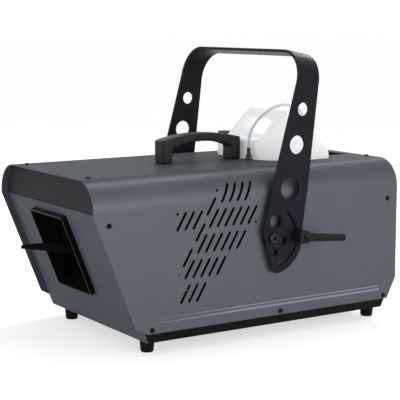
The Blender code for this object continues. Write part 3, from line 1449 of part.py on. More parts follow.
def build_knob(seat):
    """The output knob on the stem of its control."""
    facing = {"location": (KNOB_X, 0, KNOB_Z), "rotation": (-math.pi / 2, 0, 0)}
    back = PANEL_INSIDE - FIT
    stem = seat + KNOB_STEM
    profile = [
        (0, stem),
        (KNOB_STEM_RADIUS, stem),
        (KNOB_STEM_RADIUS, back),
        (POT_RADIUS, back),
        (POT_RADIUS, back - POT_LENGTH),
        (0, back - POT_LENGTH),
    ]
    turned("output_control", profile, "zinc", **facing)
    bore = KNOB_STEM_RADIUS + HOLE_PLAY
    profile = [
        (0, seat + KNOB_HEIGHT),
        (KNOB_TOP_RADIUS, seat + KNOB_HEIGHT),
        (KNOB_RADIUS, seat + FIT),
        (bore, seat + FIT),
        (bore, stem + FIT),
        (0, stem + FIT),
    ]
    knob = turned("output_knob", profile, "black_plastic", steps=KNOB_STEPS, **facing)
    mark = block(
        (-KNOB_NOTCH / 2, -KNOB_RADIUS, seat + KNOB_HEIGHT - KNOB_NOTCH),
        (KNOB_NOTCH / 2, -KNOB_TOP_RADIUS / 3, seat + KNOB_HEIGHT + KNOB_NOTCH),
    )
    boolean(knob, mark)


def shade_round_pieces():
    """Shade the turned pieces smooth. The flat sheet pieces stay flat shaded."""
    for piece in PARTS.objects:
        if any(modifier.type == "SCREW" for modifier in piece.modifiers):
            piece.data.shade_smooth()


build_case()
build_feet()
build_mouth()
build_blower()
build_tank()
build_handle()
build_yoke()
build_inside()
build_rear_fittings()
shade_round_pieces()
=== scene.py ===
# %% [markdown]
# # A snow machine, dressed for its picture
# The machine's solids are packed already, each at its real size and place. This lesson keeps them as a
# fixed frame and gives them their looks: smooth sheet metal with fine edges, a milky tank, a rubber
# handle, paint, screws and light. Everything is in metres, +Z is up, and the mouth faces -Y.

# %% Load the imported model
import json
import math

import bmesh
import bpy
from mathutils import Matrix, Vector

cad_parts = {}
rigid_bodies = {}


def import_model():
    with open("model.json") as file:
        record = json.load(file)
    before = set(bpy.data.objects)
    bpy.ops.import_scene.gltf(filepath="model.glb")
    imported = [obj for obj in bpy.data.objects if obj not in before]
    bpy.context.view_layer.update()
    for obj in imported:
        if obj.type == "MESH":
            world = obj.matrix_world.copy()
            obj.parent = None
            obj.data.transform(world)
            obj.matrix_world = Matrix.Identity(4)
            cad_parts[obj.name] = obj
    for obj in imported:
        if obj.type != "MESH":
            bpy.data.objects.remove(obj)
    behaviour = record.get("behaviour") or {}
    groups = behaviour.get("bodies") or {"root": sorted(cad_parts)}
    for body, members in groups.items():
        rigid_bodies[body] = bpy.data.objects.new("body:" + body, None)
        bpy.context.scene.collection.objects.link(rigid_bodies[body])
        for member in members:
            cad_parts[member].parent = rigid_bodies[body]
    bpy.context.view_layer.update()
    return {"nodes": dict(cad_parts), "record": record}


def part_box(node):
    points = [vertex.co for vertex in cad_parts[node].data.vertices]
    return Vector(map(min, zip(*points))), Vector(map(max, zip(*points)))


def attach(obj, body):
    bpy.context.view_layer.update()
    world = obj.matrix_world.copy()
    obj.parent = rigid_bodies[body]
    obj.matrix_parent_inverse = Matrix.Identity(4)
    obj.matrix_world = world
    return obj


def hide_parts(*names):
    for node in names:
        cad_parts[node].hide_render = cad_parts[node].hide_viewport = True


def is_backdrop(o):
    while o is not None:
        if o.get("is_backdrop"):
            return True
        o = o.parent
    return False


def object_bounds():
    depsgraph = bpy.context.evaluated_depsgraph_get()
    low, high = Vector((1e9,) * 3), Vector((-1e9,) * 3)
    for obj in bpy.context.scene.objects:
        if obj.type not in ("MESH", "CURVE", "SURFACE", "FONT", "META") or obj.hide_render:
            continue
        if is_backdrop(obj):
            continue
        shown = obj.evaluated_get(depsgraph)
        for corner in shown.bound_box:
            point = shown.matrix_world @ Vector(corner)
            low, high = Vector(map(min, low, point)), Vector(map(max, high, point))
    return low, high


for leftover in list(bpy.data.objects):
    bpy.data.objects.remove(leftover)
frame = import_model()

# %% [markdown]
# ## The camera
# The picture was taken from the right of the mouth and a little above, with a long lens, so that the
# case's edges stay almost parallel. The camera is set by its angle, its distance and what it aims at,
# which reads better than a bare matrix and is easy to change.

# %% Camera at the picture's angle
AZIMUTH = math.radians(57.287)
ELEVATION = math.radians(8.245)
DISTANCE = 1.7792
AIM = Vector((-0.0009, 0.0107, 0.1738))
LENS_MM = 112.83
SENSOR_MM = 36.0

scene = bpy.context.scene
across = math.sin(AZIMUTH) * math.cos(ELEVATION)
along = -math.cos(AZIMUTH) * math.cos(ELEVATION)
away = Vector((across, along, math.sin(ELEVATION)))
camera = bpy.data.objects.new("camera", bpy.data.cameras.new("camera"))
camera.data.lens = LENS_MM
camera.data.sensor_width = SENSOR_MM
camera.location = AIM + away * DISTANCE
camera.rotation_euler = (-away).to_track_quat("-Z", "Y").to_euler()
scene.collection.objects.link(camera)
scene.camera = camera
print("camera at", [round(place, 3) for place in camera.location])

# %% [markdown]
# ## Shader sums as Python sums
# A finish is a tree of nodes, and a long chain of Math nodes is hard to read. The class Field wraps one
# socket, so that `0.4 + 0.1 * noise` adds the Math nodes by itself. The class Finish holds one
# material. Its method node makes any other kind of node: settings first, then what feeds the sockets.

# %% Fields and finishes
class Field:
    """A shader value that takes part in sums like a number."""

    def __init__(self, finish, socket):
        self.finish = finish
        self.socket = socket

    def __add__(self, other):
        return self.finish.node("ShaderNodeMath", {"operation": "ADD"}, {0: self, 1: other})

    def __mul__(self, other):
        return self.finish.node("ShaderNodeMath", {"operation": "MULTIPLY"}, {0: self, 1: other})

    __radd__ = __add__
    __rmul__ = __mul__


class Finish:
    """One material, the record's slot that it stands for, and the nodes behind it."""

    def __init__(self, slot, name=None):
        self.slot = slot
        self.material = bpy.data.materials.new(name or slot)
        self.material.use_nodes = True
        self.tree = self.material.node_tree
        self.shader = self.tree.nodes["Principled BSDF"]

    def node(self, kind, settings=None, inputs=None, output=0):
        made = self.tree.nodes.new(kind)
        for label, value in (settings or {}).items():
            setattr(made, label, value)
        for label, value in (inputs or {}).items():
            self.feed(made.inputs[label], value)
        return Field(self, made.outputs[output])

    def feed(self, socket, value):
        if isinstance(value, Field):
            self.tree.links.new(value.socket, socket)
        else:
            socket.default_value = value

    def set(self, **values):
        for label, value in values.items():
            self.feed(self.shader.inputs[label.replace("_", " ")], value)

    def spot(self):
        """A point's own place on the piece, in metres."""
        return self.node("ShaderNodeTexCoord", output="Object")

    def noise(self, scale, stretch=(1, 1, 1), detail=3.0):
        """Soft random cloud, drawn out along an axis where the stretch is small."""
        drawn = self.node("ShaderNodeVectorMath", {"operation": "MULTIPLY"}, {0: self.spot(), 1: stretch})
        return self.node("ShaderNodeTexNoise", None, {"Vector": drawn, "Scale": scale, "Detail": detail})

    def slope(self, value, low, high):
        """0 below one value, 1 above another, and even between them."""
        return self.node("ShaderNodeMapRange", None, {"Value": value, "From Min": low, "From Max": high})

    def blend(self, share, first, second):
        """A colour between two others."""
        sockets = {0: share, 6: (*first, 1), 7: (*second, 1)}
        return self.node("ShaderNodeMix", {"data_type": "RGBA"}, sockets, output=2)

    def tint(self, share, colour, least, most):
        """Base colour between a darker and a lighter shade of one colour."""
        self.set(Base_Color=self.blend(share, shade(colour, least), shade(colour, most)))

    def rough(self, share, least, most):
        """Roughness between two values."""
        self.set(Roughness=least + (most - least) * share)

    def bump(self, height, strength, distance):
        sockets = {"Strength": strength, "Distance": distance, "Height": height}
        self.set(Normal=self.node("ShaderNodeBump", None, sockets))


def shade(colour, factor):
    """A colour made lighter or darker, as plain numbers."""
    return tuple(min(1.0, part * factor) for part in colour)


# %% [markdown]
# ## The finishes
# The case wears satin grey-blue paint. Under a lens, sprayed paint is never one flat colour: it has a
# faint cloud of tone, fine bright flakes, and an orange-peel surface about a millimetre across that
# breaks up reflections. All three are noises at a real scale. The grey coat is also part metallic, with
# a dark tint at flat angles, so that the case's top doesn't flare. The same recipe with other numbers
# gives the charcoal and black coats.

# %% Painted sheet metal
CLOUD_SCALE = 22
PEEL_SCALE = 1100
FLAKE_SCALE = 2600
FLAKE_SPAN = (0.52, 0.70)
CLOUD_ROUGH = 0.08
PEEL_ROUGH = 0.04
MEAN_ROUGH = 0.05
SKIN_DEPTH = 0.0003
EDGE_TINT = (0.15, 0.15, 0.15, 1)


def paint(slot, colour, roughness, gloss, metal_share=0.0, cloud=0.07, peel=0.10, flake=0.0, name=None):
    finish = Finish(slot, name)
    mottle = finish.noise(CLOUD_SCALE)
    skin = finish.noise(PEEL_SCALE, detail=2.0)
    glint = finish.slope(finish.noise(FLAKE_SCALE, detail=1.0), *FLAKE_SPAN)
    tone = (1 - flake) * mottle + flake * glint
    finish.tint(tone, colour, 1 - cloud, 1 + cloud)
    finish.set(Roughness=roughness - MEAN_ROUGH + CLOUD_ROUGH * mottle + PEEL_ROUGH * skin)
    finish.set(Metallic=metal_share, Specular_IOR_Level=gloss, Specular_Tint=EDGE_TINT)
    finish.bump(skin, peel, SKIN_DEPTH)
    return finish


METALLIC_GREY = {"metal_share": 0.45, "cloud": 0.10, "flake": 0.3}
grey_paint = paint("grey_paint", (0.108, 0.118, 0.137), 0.42, 0.04, **METALLIC_GREY)
panel_paint = paint("grey_paint", (0.108, 0.118, 0.140), 0.46, 0.04, name="panel_paint", **METALLIC_GREY)
dark_paint = paint("dark_paint", (0.0245, 0.0245, 0.0290), 0.50, 0.06)
black_paint = paint("black_paint", (0.008, 0.008, 0.009), 0.50, 0.14)
duct_black = paint("black_paint", (0.0058, 0.0054, 0.0052), 0.42, 0.25, name="duct_black")
yoke_black = paint("yoke_black", (0.020, 0.0205, 0.0245), 0.44, 0.10, peel=0.18)
print("paints are mixed")

# %% [markdown]
# ## Plastic, rubber, metal
# Moulded plastic has a spark-eroded grain, rubber a duller and softer one. Turned and plated metal shows
# fine lines, which come from a noise that is stretched hard along one axis.

# %% Moulded and metal finishes
MOTTLE_SCALE = 35
PORE_SCALE = 2200
MOULD_TONES = (0.90, 1.12)
MOULD_ROUGH = 0.06
LINE_SCALE = 260
LINE_TONES = (0.82, 1.12)
LINE_ROUGH = (-0.08, 0.10)
LINE_BUMP = (0.08, 0.0002)


def moulded(slot, colour, roughness, grain, gloss=0.3, name=None):
    finish = Finish(slot, name)
    mottle = finish.noise(MOTTLE_SCALE)
    pores = finish.noise(PORE_SCALE, detail=2.0)
    finish.tint(mottle, colour, *MOULD_TONES)
    finish.rough(mottle, roughness - MOULD_ROUGH, roughness + MOULD_ROUGH)
    finish.set(Specular_IOR_Level=gloss)
    finish.bump(pores, grain, SKIN_DEPTH)
    return finish


def metal(slot, colour, roughness, lines, name=None):
    finish = Finish(slot, name)
    scratches = finish.noise(LINE_SCALE, stretch=lines, detail=4.0)
    finish.tint(scratches, colour, *LINE_TONES)
    finish.rough(scratches, roughness + LINE_ROUGH[0], roughness + LINE_ROUGH[1])
    finish.set(Metallic=1.0)
    finish.bump(scratches, *LINE_BUMP)
    return finish


black_plastic = moulded("black_plastic", (0.009, 0.009, 0.0105), 0.46, 0.22, gloss=0.12)
grip_rubber = moulded("black_plastic", (0.011, 0.011, 0.014), 0.44, 0.30, gloss=0.24, name="grip_rubber")
rubber = moulded("rubber", (0.006, 0.006, 0.007), 0.68, 0.25, gloss=0.08)
gland_grey = moulded("black_plastic", (0.050, 0.049, 0.050), 0.50, 0.20, name="gland_grey")
cap_grey = moulded("black_plastic", (0.085, 0.082, 0.080), 0.48, 0.20, name="cap_grey")
bolt_black = metal("yoke_black", (0.030, 0.030, 0.034), 0.42, (1, 12, 1), name="bolt_black")
steel = metal("steel", (0.52, 0.52, 0.54), 0.32, (1, 12, 1))
zinc = metal("zinc", (0.50, 0.51, 0.53), 0.40, (1, 1, 10))
print("plastics and metals are ready")

# %% [markdown]
# ## Tank plastic, tube and board
# The tank is blow-moulded and milky: light enters it and comes out nearby, so it needs subsurface
# scattering and no sharp tone. It also carries a painted glow, a constant emission that stands in for
# the light coming through its far walls. A faint vertical streak shows how the plastic ran in the
# mould. The tube is clear, pale blue and glossy.
# The circuit board inside has a green coat with a grid of tracks.

# %% Translucent finishes and the board
MILK = (0.90, 0.91, 0.92)
# Painted glow: the tank's constant emission stands in for light that comes through its far walls.
MILK_PAINTED_GLOW = (0.195, 0.195, 0.195, 1)
MILK_STREAK = (1, 1, 0.12)
MILK_REACH = 0.012
tank_white = Finish("tank_white")
flow = tank_white.noise(30, stretch=MILK_STREAK)
tank_white.tint(flow, MILK, 0.97, 1.03)
tank_white.rough(flow, 0.34, 0.44)
tank_white.set(Subsurface_Weight=0.5, Subsurface_Scale=MILK_REACH, Subsurface_Radius=(1.0, 1.0, 1.0))
tank_white.set(Emission_Color=MILK_PAINTED_GLOW, Emission_Strength=1.0)
tank_white.bump(tank_white.noise(420), 0.05, SKIN_DEPTH)

TUBE_TINT = (0.68, 0.77, 0.83)
tube_blue = Finish("tube_blue")
haze = tube_blue.noise(120)
tube_blue.tint(haze, TUBE_TINT, 0.92, 1.08)
tube_blue.rough(haze, 0.16, 0.26)

BOARD_GREEN = (0.020, 0.110, 0.045)
board_green = Finish("board_green")
grid = {"Vector": board_green.spot(), "Scale": 90.0}
tracks = board_green.node("ShaderNodeTexBrick", None, grid, output="Fac")
board_green.tint(tracks, BOARD_GREEN, 1.0, 2.2)
board_green.rough(tracks, 0.42, 0.57)

# Painted highlight: a light colour for the side stripes, which stand in for light catching a pressed bead.
STRIPE_HIGHLIGHT_TINT = (0.27, 0.31, 0.39)
painted_stripe_highlight = paint("grey_paint", STRIPE_HIGHLIGHT_TINT, 0.50, 0.10, name="painted_stripe_highlight")
print("tank, tube, board and stripe finishes are ready")

# %% [markdown]
# ## Shapes from outlines
# Sheet metal parts are outlines with a thickness, turned parts are profiles about an axis, and moulded
# parts run from section to section. The functions prism, lathe and loft make these. The function carve
# cuts a mesh with another and keeps only the result, so no cutter is left in the scene.

# %% Outlines
QUARTER = math.pi / 2


def arc(centre, radius, start, end, steps=12):
    turns = [start + (end - start) * k / steps for k in range(steps + 1)]
    return [(centre[0] + radius * math.cos(a), centre[1] + radius * math.sin(a)) for a in turns]


def circle(centre, radius, steps=40):
    return arc(centre, radius, 0, 4 * QUARTER * (steps - 1) / steps, steps - 1)


def rounded(left, right, low, high, radii, steps=8):
    """A rectangle with round corners, given one radius or four."""
    corners = [(left, low, 1, 1), (right, low, -1, 1), (right, high, -1, -1), (left, high, 1, -1)]
    points = []
    for k, (x, y, inward, upward) in enumerate(corners):
        radius = radii[k] if isinstance(radii, list) else radii
        start = (k + 2) * QUARTER
        points += arc((x + inward * radius, y + upward * radius), radius, start, start + QUARTER, steps)
    return points


def bent_sheet(half, top, radius, bottom, sheet, steps):
    """A strip of sheet that is bent twice into an arch, seen from the front."""
    faces = []
    for inset in (0, sheet):
        side, bend = half - inset, radius - inset
        face = arc((bend - side, top - radius), bend, 2 * QUARTER, QUARTER, steps)
        face += arc((side - bend, top - radius), bend, QUARTER, 0, steps)
        faces.append([(-side, bottom)] + face + [(side, bottom)])
    return faces[0] + faces[1][::-1]


def pill(start, end, radius, steps=8):
    """A slot's outline with round ends."""
    lean = math.atan2(end[1] - start[1], end[0] - start[0])
    far = arc(end, radius, lean - QUARTER, lean + QUARTER, steps)
    return far + arc(start, radius, lean + QUARTER, lean + 3 * QUARTER, steps)


# %% Meshes from outlines
AXES = {
    "X": Matrix(((0, 0, 1, 0), (1, 0, 0, 0), (0, 1, 0, 0), (0, 0, 0, 1))),
    "Y": Matrix(((1, 0, 0, 0), (0, 0, 1, 0), (0, 1, 0, 0), (0, 0, 0, 1))),
    "Z": Matrix.Identity(4),
}


def closed_mesh(work, name):
    bmesh.ops.recalc_face_normals(work, faces=work.faces)
    mesh = bpy.data.meshes.new(name)
    work.to_mesh(mesh)
    work.free()
    return mesh


def loft(rows, ring=False):
    """Skin a row of loops that have the same number of points."""
    work = bmesh.new()
    loops = [[work.verts.new(point) for point in row] for row in rows]
    pairs = list(zip(loops, loops[1:]))
    if ring:
        pairs.append((loops[-1], loops[0]))
    else:
        work.faces.new(loops[0])
        work.faces.new(loops[-1])
    for near, far in pairs:
        for k in range(len(near)):
            work.faces.new((near[k - 1], near[k], far[k], far[k - 1]))
    return closed_mesh(work, "loft")


def prism(outlines, low, high, axis):
    """Extrude outlines along an axis, each to a solid of its own."""
    work = bmesh.new()
    for outline in outlines:
        ends = []
        for height in (low, high):
            ends.append([work.verts.new(AXES[axis] @ Vector((x, y, height))) for x, y in outline])
        work.faces.new(ends[0])
        work.faces.new(ends[1])
        for k in range(len(outline)):
            work.faces.new((ends[0][k - 1], ends[0][k], ends[1][k], ends[1][k - 1]))
    return closed_mesh(work, "prism")


def lathe(profile, steps=40, ring=False):
    """Turn a profile of (radius, height) points about Z. A ring's last point meets its first."""
    rows = []
    for radius, height in profile:
        rows.append([(x, y, height) for x, y in circle((0, 0), radius, steps)])
    return loft(rows, ring)


def taken(item):
    """The mesh that an object's modifiers give. The object itself is removed."""
    depsgraph = bpy.context.evaluated_depsgraph_get()
    mesh = bpy.data.meshes.new_from_object(item.evaluated_get(depsgraph))
    bpy.data.objects.remove(item)
    return mesh


def held(mesh, name="work"):
    """An object that carries a mesh in the scene."""
    item = bpy.data.objects.new(name, mesh)
    scene.collection.objects.link(item)
    return item


def carve(mesh, tool, operation="DIFFERENCE"):
    """Cut a mesh with another one, or keep what they share, or join them."""
    item = held(mesh)
    cutter = held(tool)
    modifier = item.modifiers.new("Carve", "BOOLEAN")
    modifier.operation = operation
    modifier.object = cutter
    result = taken(item)
    bpy.data.objects.remove(cutter)
    return result


def soften(mesh, voxel, rounds):
    """Melt every edge of a mesh, as blow moulding and soft rubber do."""
    item = held(mesh)
    skin = item.modifiers.new("Skin", "REMESH")
    skin.mode = "VOXEL"
    skin.voxel_size = voxel
    melt = item.modifiers.new("Melt", "SMOOTH")
    melt.factor = 0.5
    melt.iterations = rounds
    return taken(item)


SHARP = math.radians(32)


def add_bevel(item, width, segments, angle=SHARP):
    bevel = item.modifiers.new("Edges", "BEVEL")
    bevel.width = width
    bevel.segments = segments
    bevel.limit_method = "ANGLE"
    bevel.angle_limit = angle


def edged(mesh, width):
    """Round every sharp edge of a mesh a little."""
    item = held(mesh)
    add_bevel(item, width, 3)
    return taken(item)


def moved(mesh, *steps):
    for step in steps:
        mesh.transform(step)
    return mesh


def turn(angle, axis):
    return Matrix.Rotation(angle, 4, axis)


def shift(x, y, z):
    return Matrix.Translation((x, y, z))


# %% [markdown]
# ## Showing a piece
# Each new piece rides on a body of the machine and names the solid that it stands for, which is then
# hidden. Sheet metal has tiny rounded edges that catch the light. A Bevel makes them, and a Weighted
# Normal keeps the big faces flat, which a smooth-shaded bevel would otherwise bend.

# %% Place a piece on its body
case_low, case_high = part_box("outer_shell")
MIDDLE_Y = (case_low.y + case_high.y) / 2
SHIFT = shift(0, MIDDLE_Y, 0)
SIDES = (("left", -1), ("right", 1))
shown = []


def piece(name, mesh, finish, body="case", stands_for=(), edge=0.0, segments=2):
    mesh.transform(SHIFT)
    mesh.materials.clear()
    mesh.materials.append(finish.material)
    mesh.name = name
    item = held(mesh, name)
    mesh.shade_smooth()
    if edge:
        add_bevel(item, edge, segments)
    else:
        mesh.set_sharp_from_angle(angle=SHARP)
    flat = item.modifiers.new("Flat faces", "WEIGHTED_NORMAL")
    flat.keep_sharp = True
    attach(item, body)
    if stands_for:
        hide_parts(*stands_for)
    shown.append(name)
    return item


def middle_of(node):
    """The middle of a solid's box, measured from the case's middle."""
    low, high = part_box(node)
    return (low + high) / 2 - Vector((0, MIDDLE_Y, 0))


# %% [markdown]
# ## The feed tube
# A thin tube rises from a gland on the case, bows over the tank's shoulder and drops into a bung. It is
# the machine's only free cord, shown from end to end. Its route is a handful of points listed along
# the bow, with one smooth curve through them.

# %% Feed tube, gland and bung
FIT = 0.0003
BODY_TOP = case_high.z
TUBE_DIAMETER = 0.004
gland_low, gland_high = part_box("tube_gland")
bung_low, bung_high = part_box("tube_bung")
GLAND_X, GLAND_Y = middle_of("tube_gland").xy
BUNG_X, BUNG_Y = middle_of("tube_bung").xy
GLAND_TIP = gland_high.z
BUNG_TOP = bung_high.z
TUBE_BOW = [
    (0.028, 0.0640, 0.2660),
    (0.031, 0.0715, 0.2820),
    (0.036, 0.0830, 0.2945),
    (0.041, 0.0960, 0.3035),
    (0.045, 0.1100, 0.3075),
    (0.048, 0.1240, 0.3050),
    (0.0495, 0.1350, 0.2990),
]
TUBE_POINTS = 60


def smooth_point(route, share):
    """A point on the smooth curve through a route."""
    spans = len(route) - 1
    spot = min(share * spans, spans - 1e-9)
    k = int(spot)
    t = spot - k
    before, start, end, after = (Vector(route[min(max(k + step, 0), spans)]) for step in (-1, 0, 1, 2))
    slope_in = (end - before) / 2
    slope_out = (after - start) / 2
    bend = 2 * start - 2 * end + slope_in + slope_out
    lift = 3 * end - 3 * start - 2 * slope_in - slope_out
    return ((bend * t + lift) * t + slope_in) * t + start


tube_route = [(GLAND_X, GLAND_Y, GLAND_TIP + FIT), (GLAND_X, GLAND_Y, GLAND_TIP + TUBE_DIAMETER)]
tube_route += TUBE_BOW
tube_route += [(BUNG_X, BUNG_Y, BUNG_TOP + rise) for rise in (2 * TUBE_DIAMETER, TUBE_DIAMETER, FIT)]
tube_line = [SHIFT @ smooth_point(tube_route, k / (TUBE_POINTS - 1)) for k in range(TUBE_POINTS)]
tube_length = sum((b - a).length for a, b in zip(tube_line, tube_line[1:]))

tube_curve = bpy.data.curves.new("clear_tube", "CURVE")
tube_curve.dimensions = "3D"
tube_curve.bevel_depth = TUBE_DIAMETER / 2
tube_curve.bevel_resolution = 4
tube_curve.use_fill_caps = True
spline = tube_curve.splines.new("POLY")
spline.points.add(TUBE_POINTS - 1)
for point, place in zip(spline.points, tube_line):
    point.co = (*place, 1)
spline.use_smooth = True
clear_tube = bpy.data.objects.new("clear_tube", tube_curve)
tube_curve.materials.append(tube_blue.material)
scene.collection.objects.link(clear_tube)
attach(clear_tube, "tank")
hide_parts("feed_tube")
print("feed tube is", round(tube_length * 1000, 1), "mm long")

# %% [markdown]
# ## The cover
# One sheet is bent into an arch: two upright sides, a wide round shoulder, a flat top. Its front edge
# leans back below the brow. The arch is drawn once as a thin outline and extruded along the case, then
# cut to the side view. Its edges are rounded before the slots and the tank's cut-out are made, because
# a bevel over dozens of tiny slots would only cost faces.

# %% Bent cover with its slots
SHEET = 0.0012
HALF_WIDTH = case_high.x
FRONT = case_low.y - MIDDLE_Y
REAR = case_high.y - MIDDLE_Y
SKIRT = case_low.z
SHOULDER = 0.038
KINK_Z = 0.1875
TOE_Y = -0.187
TOE_Z = 0.040
NOSE_Y = -0.1696
NOTCH_Y = 0.230
NOTCH_Z = 0.0595
EDGE = 0.0004
ARCH_STEPS = 24
THROUGH_CASE = (-2 * HALF_WIDTH, 2 * HALF_WIDTH, "X")

side_view = [
    (FRONT, BODY_TOP + SHEET),
    (FRONT, KINK_Z),
    (TOE_Y, TOE_Z),
    (NOSE_Y, SKIRT),
    (NOTCH_Y, SKIRT),
    (REAR, NOTCH_Z),
    (REAR, BODY_TOP + SHEET),
]
arch = bent_sheet(HALF_WIDTH, BODY_TOP, SHOULDER, SKIRT, SHEET, ARCH_STEPS)
cover = prism([arch], FRONT, REAR, "Y")
cover = carve(cover, prism([side_view], *THROUGH_CASE), "INTERSECT")
cover = edged(cover, EDGE)

# %% [markdown]
# The slots lean forward in ragged rows, a decorative pattern that air is drawn through. Each row is
# given by its number, the place of its first slot and how many slots it has. Three slots stand between
# the rows, and a few are single dots.

# %% Slots in the cover's sides
SLOT_ROWS = [
    (0, -0.0495, 4),
    (1, -0.1180, 3),
    (1, -0.0685, 6),
    (2, -0.0866, 6),
    (3, -0.1060, 5),
    (4, -0.1127, 3),
]
SLOT_TOP_ROW = 0.2036
SLOT_ROW_PITCH = 0.0318
SLOT_PITCH = 0.0122
SLOT_RUN = 0.0125
SLOT_RISE = 0.0246
SLOT_RADIUS = 0.0019
LOOSE_SLOTS = [(-0.0725, 0.1878), (-0.0895, 0.1550), (-0.1088, 0.1240)]
LOOSE_SHARE = 0.95
SLOT_DOTS = [(-0.0620, 0.2075), (-0.1243, 0.1818), (-0.0020, 0.1615), (-0.1219, 0.1023)]


def slot_at(middle, height, share=1.0):
    run = SLOT_RUN * share / 2
    rise = SLOT_RISE * share / 2 - SLOT_RADIUS
    return pill((middle - run, height - rise), (middle + run, height + rise), SLOT_RADIUS)


slots = [circle(place, SLOT_RADIUS, 16) for place in SLOT_DOTS]
slots += [slot_at(middle, height, LOOSE_SHARE) for middle, height in LOOSE_SLOTS]
for row, first, count in SLOT_ROWS:
    for k in range(count):
        slots.append(slot_at(first + k * SLOT_PITCH, SLOT_TOP_ROW - row * SLOT_ROW_PITCH))
cover = carve(cover, prism(slots, *THROUGH_CASE))
print(len(slots), "slots on each side")

# %% [markdown]
# The top has one opening: the tank's own plan, with a square notch behind it for the fingers that lift
# the tank out. The plan has one wide round corner, at the front right, and small ones elsewhere.

# %% Tank opening in the cover's top
TANK_HALF = 0.072
TANK_FRONT = 0.0665
TANK_REAR = 0.178
TANK_PLAY = 0.002
TANK_LEFT_ROUND = 0.020
TANK_RIGHT_ROUND = 0.070
TANK_CORNER = 0.012
NOTCH_HALF = 0.041
NOTCH_REAR = 0.229
NOTCH_CORNER = 0.003


def tank_plan(grow):
    rounds = [TANK_LEFT_ROUND, TANK_RIGHT_ROUND, TANK_CORNER, TANK_CORNER]
    half = TANK_HALF + grow
    front, rear = TANK_FRONT - grow, TANK_REAR + grow
    return rounded(-half, half, front, rear, [radius + grow for radius in rounds], 20)


ROOF = (BODY_TOP - 4 * SHEET, BODY_TOP + SHEET)
cover = carve(cover, prism([tank_plan(TANK_PLAY)], *ROOF, "Z"))
notch = rounded(-NOTCH_HALF, NOTCH_HALF, TANK_REAR - TANK_CORNER, NOTCH_REAR, NOTCH_CORNER)
cover = carve(cover, prism([notch], *ROOF, "Z"))
piece("cover", cover, grey_paint, stands_for=["outer_shell"])
print("the cover has", len(cover.polygons), "faces")

# %% [markdown]
# ## The mouth
# A black duct stands square to the slanted front and shows its rim. The blower pushes air through it
# past a wet screen. A tube with a rounded rim and a rear plate does it. The mouth has a frame of its
# own, so that depth and rise can be given along the slant.

# %% Mouth duct
duct_low, duct_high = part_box("mouth_duct")
MOUTH_X = middle_of("mouth_duct").x
MOUTH_Z = 0.1175
SLANT = math.atan2(TOE_Y - FRONT, KINK_Z - TOE_Z)
MOUTH_Y = FRONT + (KINK_Z - MOUTH_Z) * math.tan(SLANT)
MOUTH = shift(MOUTH_X, MOUTH_Y, MOUTH_Z) @ turn(SLANT, "X")
DUCT_HALF = (duct_high.x - duct_low.x) / 2
DUCT_TALL = 0.05835
DUCT_WALL = 0.002
DUCT_CORNER = 0.005
DUCT_SETBACK = 0.0017
DUCT_END = 0.085
OUTLET_HALF = 0.0385
OUTLET_LOW = -0.041
OUTLET_HIGH = 0.031

rim = rounded(-DUCT_HALF, DUCT_HALF, -DUCT_TALL, DUCT_TALL, DUCT_CORNER)
duct = prism([rim], DUCT_SETBACK, DUCT_END, "Y")
inner_half = DUCT_HALF - DUCT_WALL
inner_tall = DUCT_TALL - DUCT_WALL
bore = rounded(-inner_half, inner_half, -inner_tall, inner_tall, DUCT_CORNER - DUCT_WALL)
duct = carve(duct, prism([bore], DUCT_SETBACK - DUCT_WALL, DUCT_END - DUCT_WALL, "Y"))
outlet = rounded(-OUTLET_HALF, OUTLET_HALF, OUTLET_LOW, OUTLET_HIGH, DUCT_WALL)
duct = carve(duct, prism([outlet], DUCT_END - 2 * DUCT_WALL, DUCT_END + DUCT_WALL, "Y"))
piece("duct", moved(duct, MOUTH), duct_black, stands_for=["mouth_duct"], edge=0.0006, segments=3)

# %% [markdown]
# A pointed blade stands out of the mouth. It spreads the foam and holds the cloth sock that makes the
# flakes. It is cut from sheet and creased along its length, which stiffens it. Two sections, one at the
# root and one at the tip, give its taper and its crease at once.

# %% Blade in the mouth
blade_low, blade_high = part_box("sock_arm")
BLADE_HALF = blade_high.x
BLADE_SHEET = 0.0014
BLADE_LEAN = 0.0016
CREASE_SHARE = 0.52
BLADE_TIP = 0.005
ROOT_DEPTH = 0.0327


def at_depth(height, depth):
    """How far along the case a point lies at a height on a plane at a depth in the mouth."""
    rise = (height - MOUTH_Z - depth * math.sin(SLANT)) / math.cos(SLANT)
    return MOUTH_Y + depth * math.cos(SLANT) - rise * math.sin(SLANT)


def blade_section(drop, tip=None):
    """The creased sheet's outline, cut along the root's slant or square at the tip."""
    top = blade_high.z
    crease = top - CREASE_SHARE * drop
    foot = top - drop
    outer = [(BLADE_HALF, top), (BLADE_HALF, crease), (BLADE_HALF - BLADE_LEAN, foot)]
    points = outer + [(x - BLADE_SHEET, z) for x, z in outer[::-1]]
    return [(x, at_depth(z, ROOT_DEPTH) if tip is None else tip, z) for x, z in points]


blade = loft([blade_section(blade_high.z - blade_low.z), blade_section(BLADE_TIP, blade_low.y - MIDDLE_Y)])
piece("blade", blade, black_paint, stands_for=["sock_arm"], edge=0.0003)
print("mouth leans back by", round(math.degrees(SLANT), 2), "degrees")

# %% [markdown]
# ## The tank
# The tank lifts out of a well. It is blow-moulded: a gabled can with a low shoulder on its left, a hand
# hole under its ridge and every edge soft. Three extruded views are cut against each other, and a scoop
# on each side of the hole leaves a grip. The result is covered with a fine even skin and smoothed, which
# rounds all edges at once, as the moulding does.

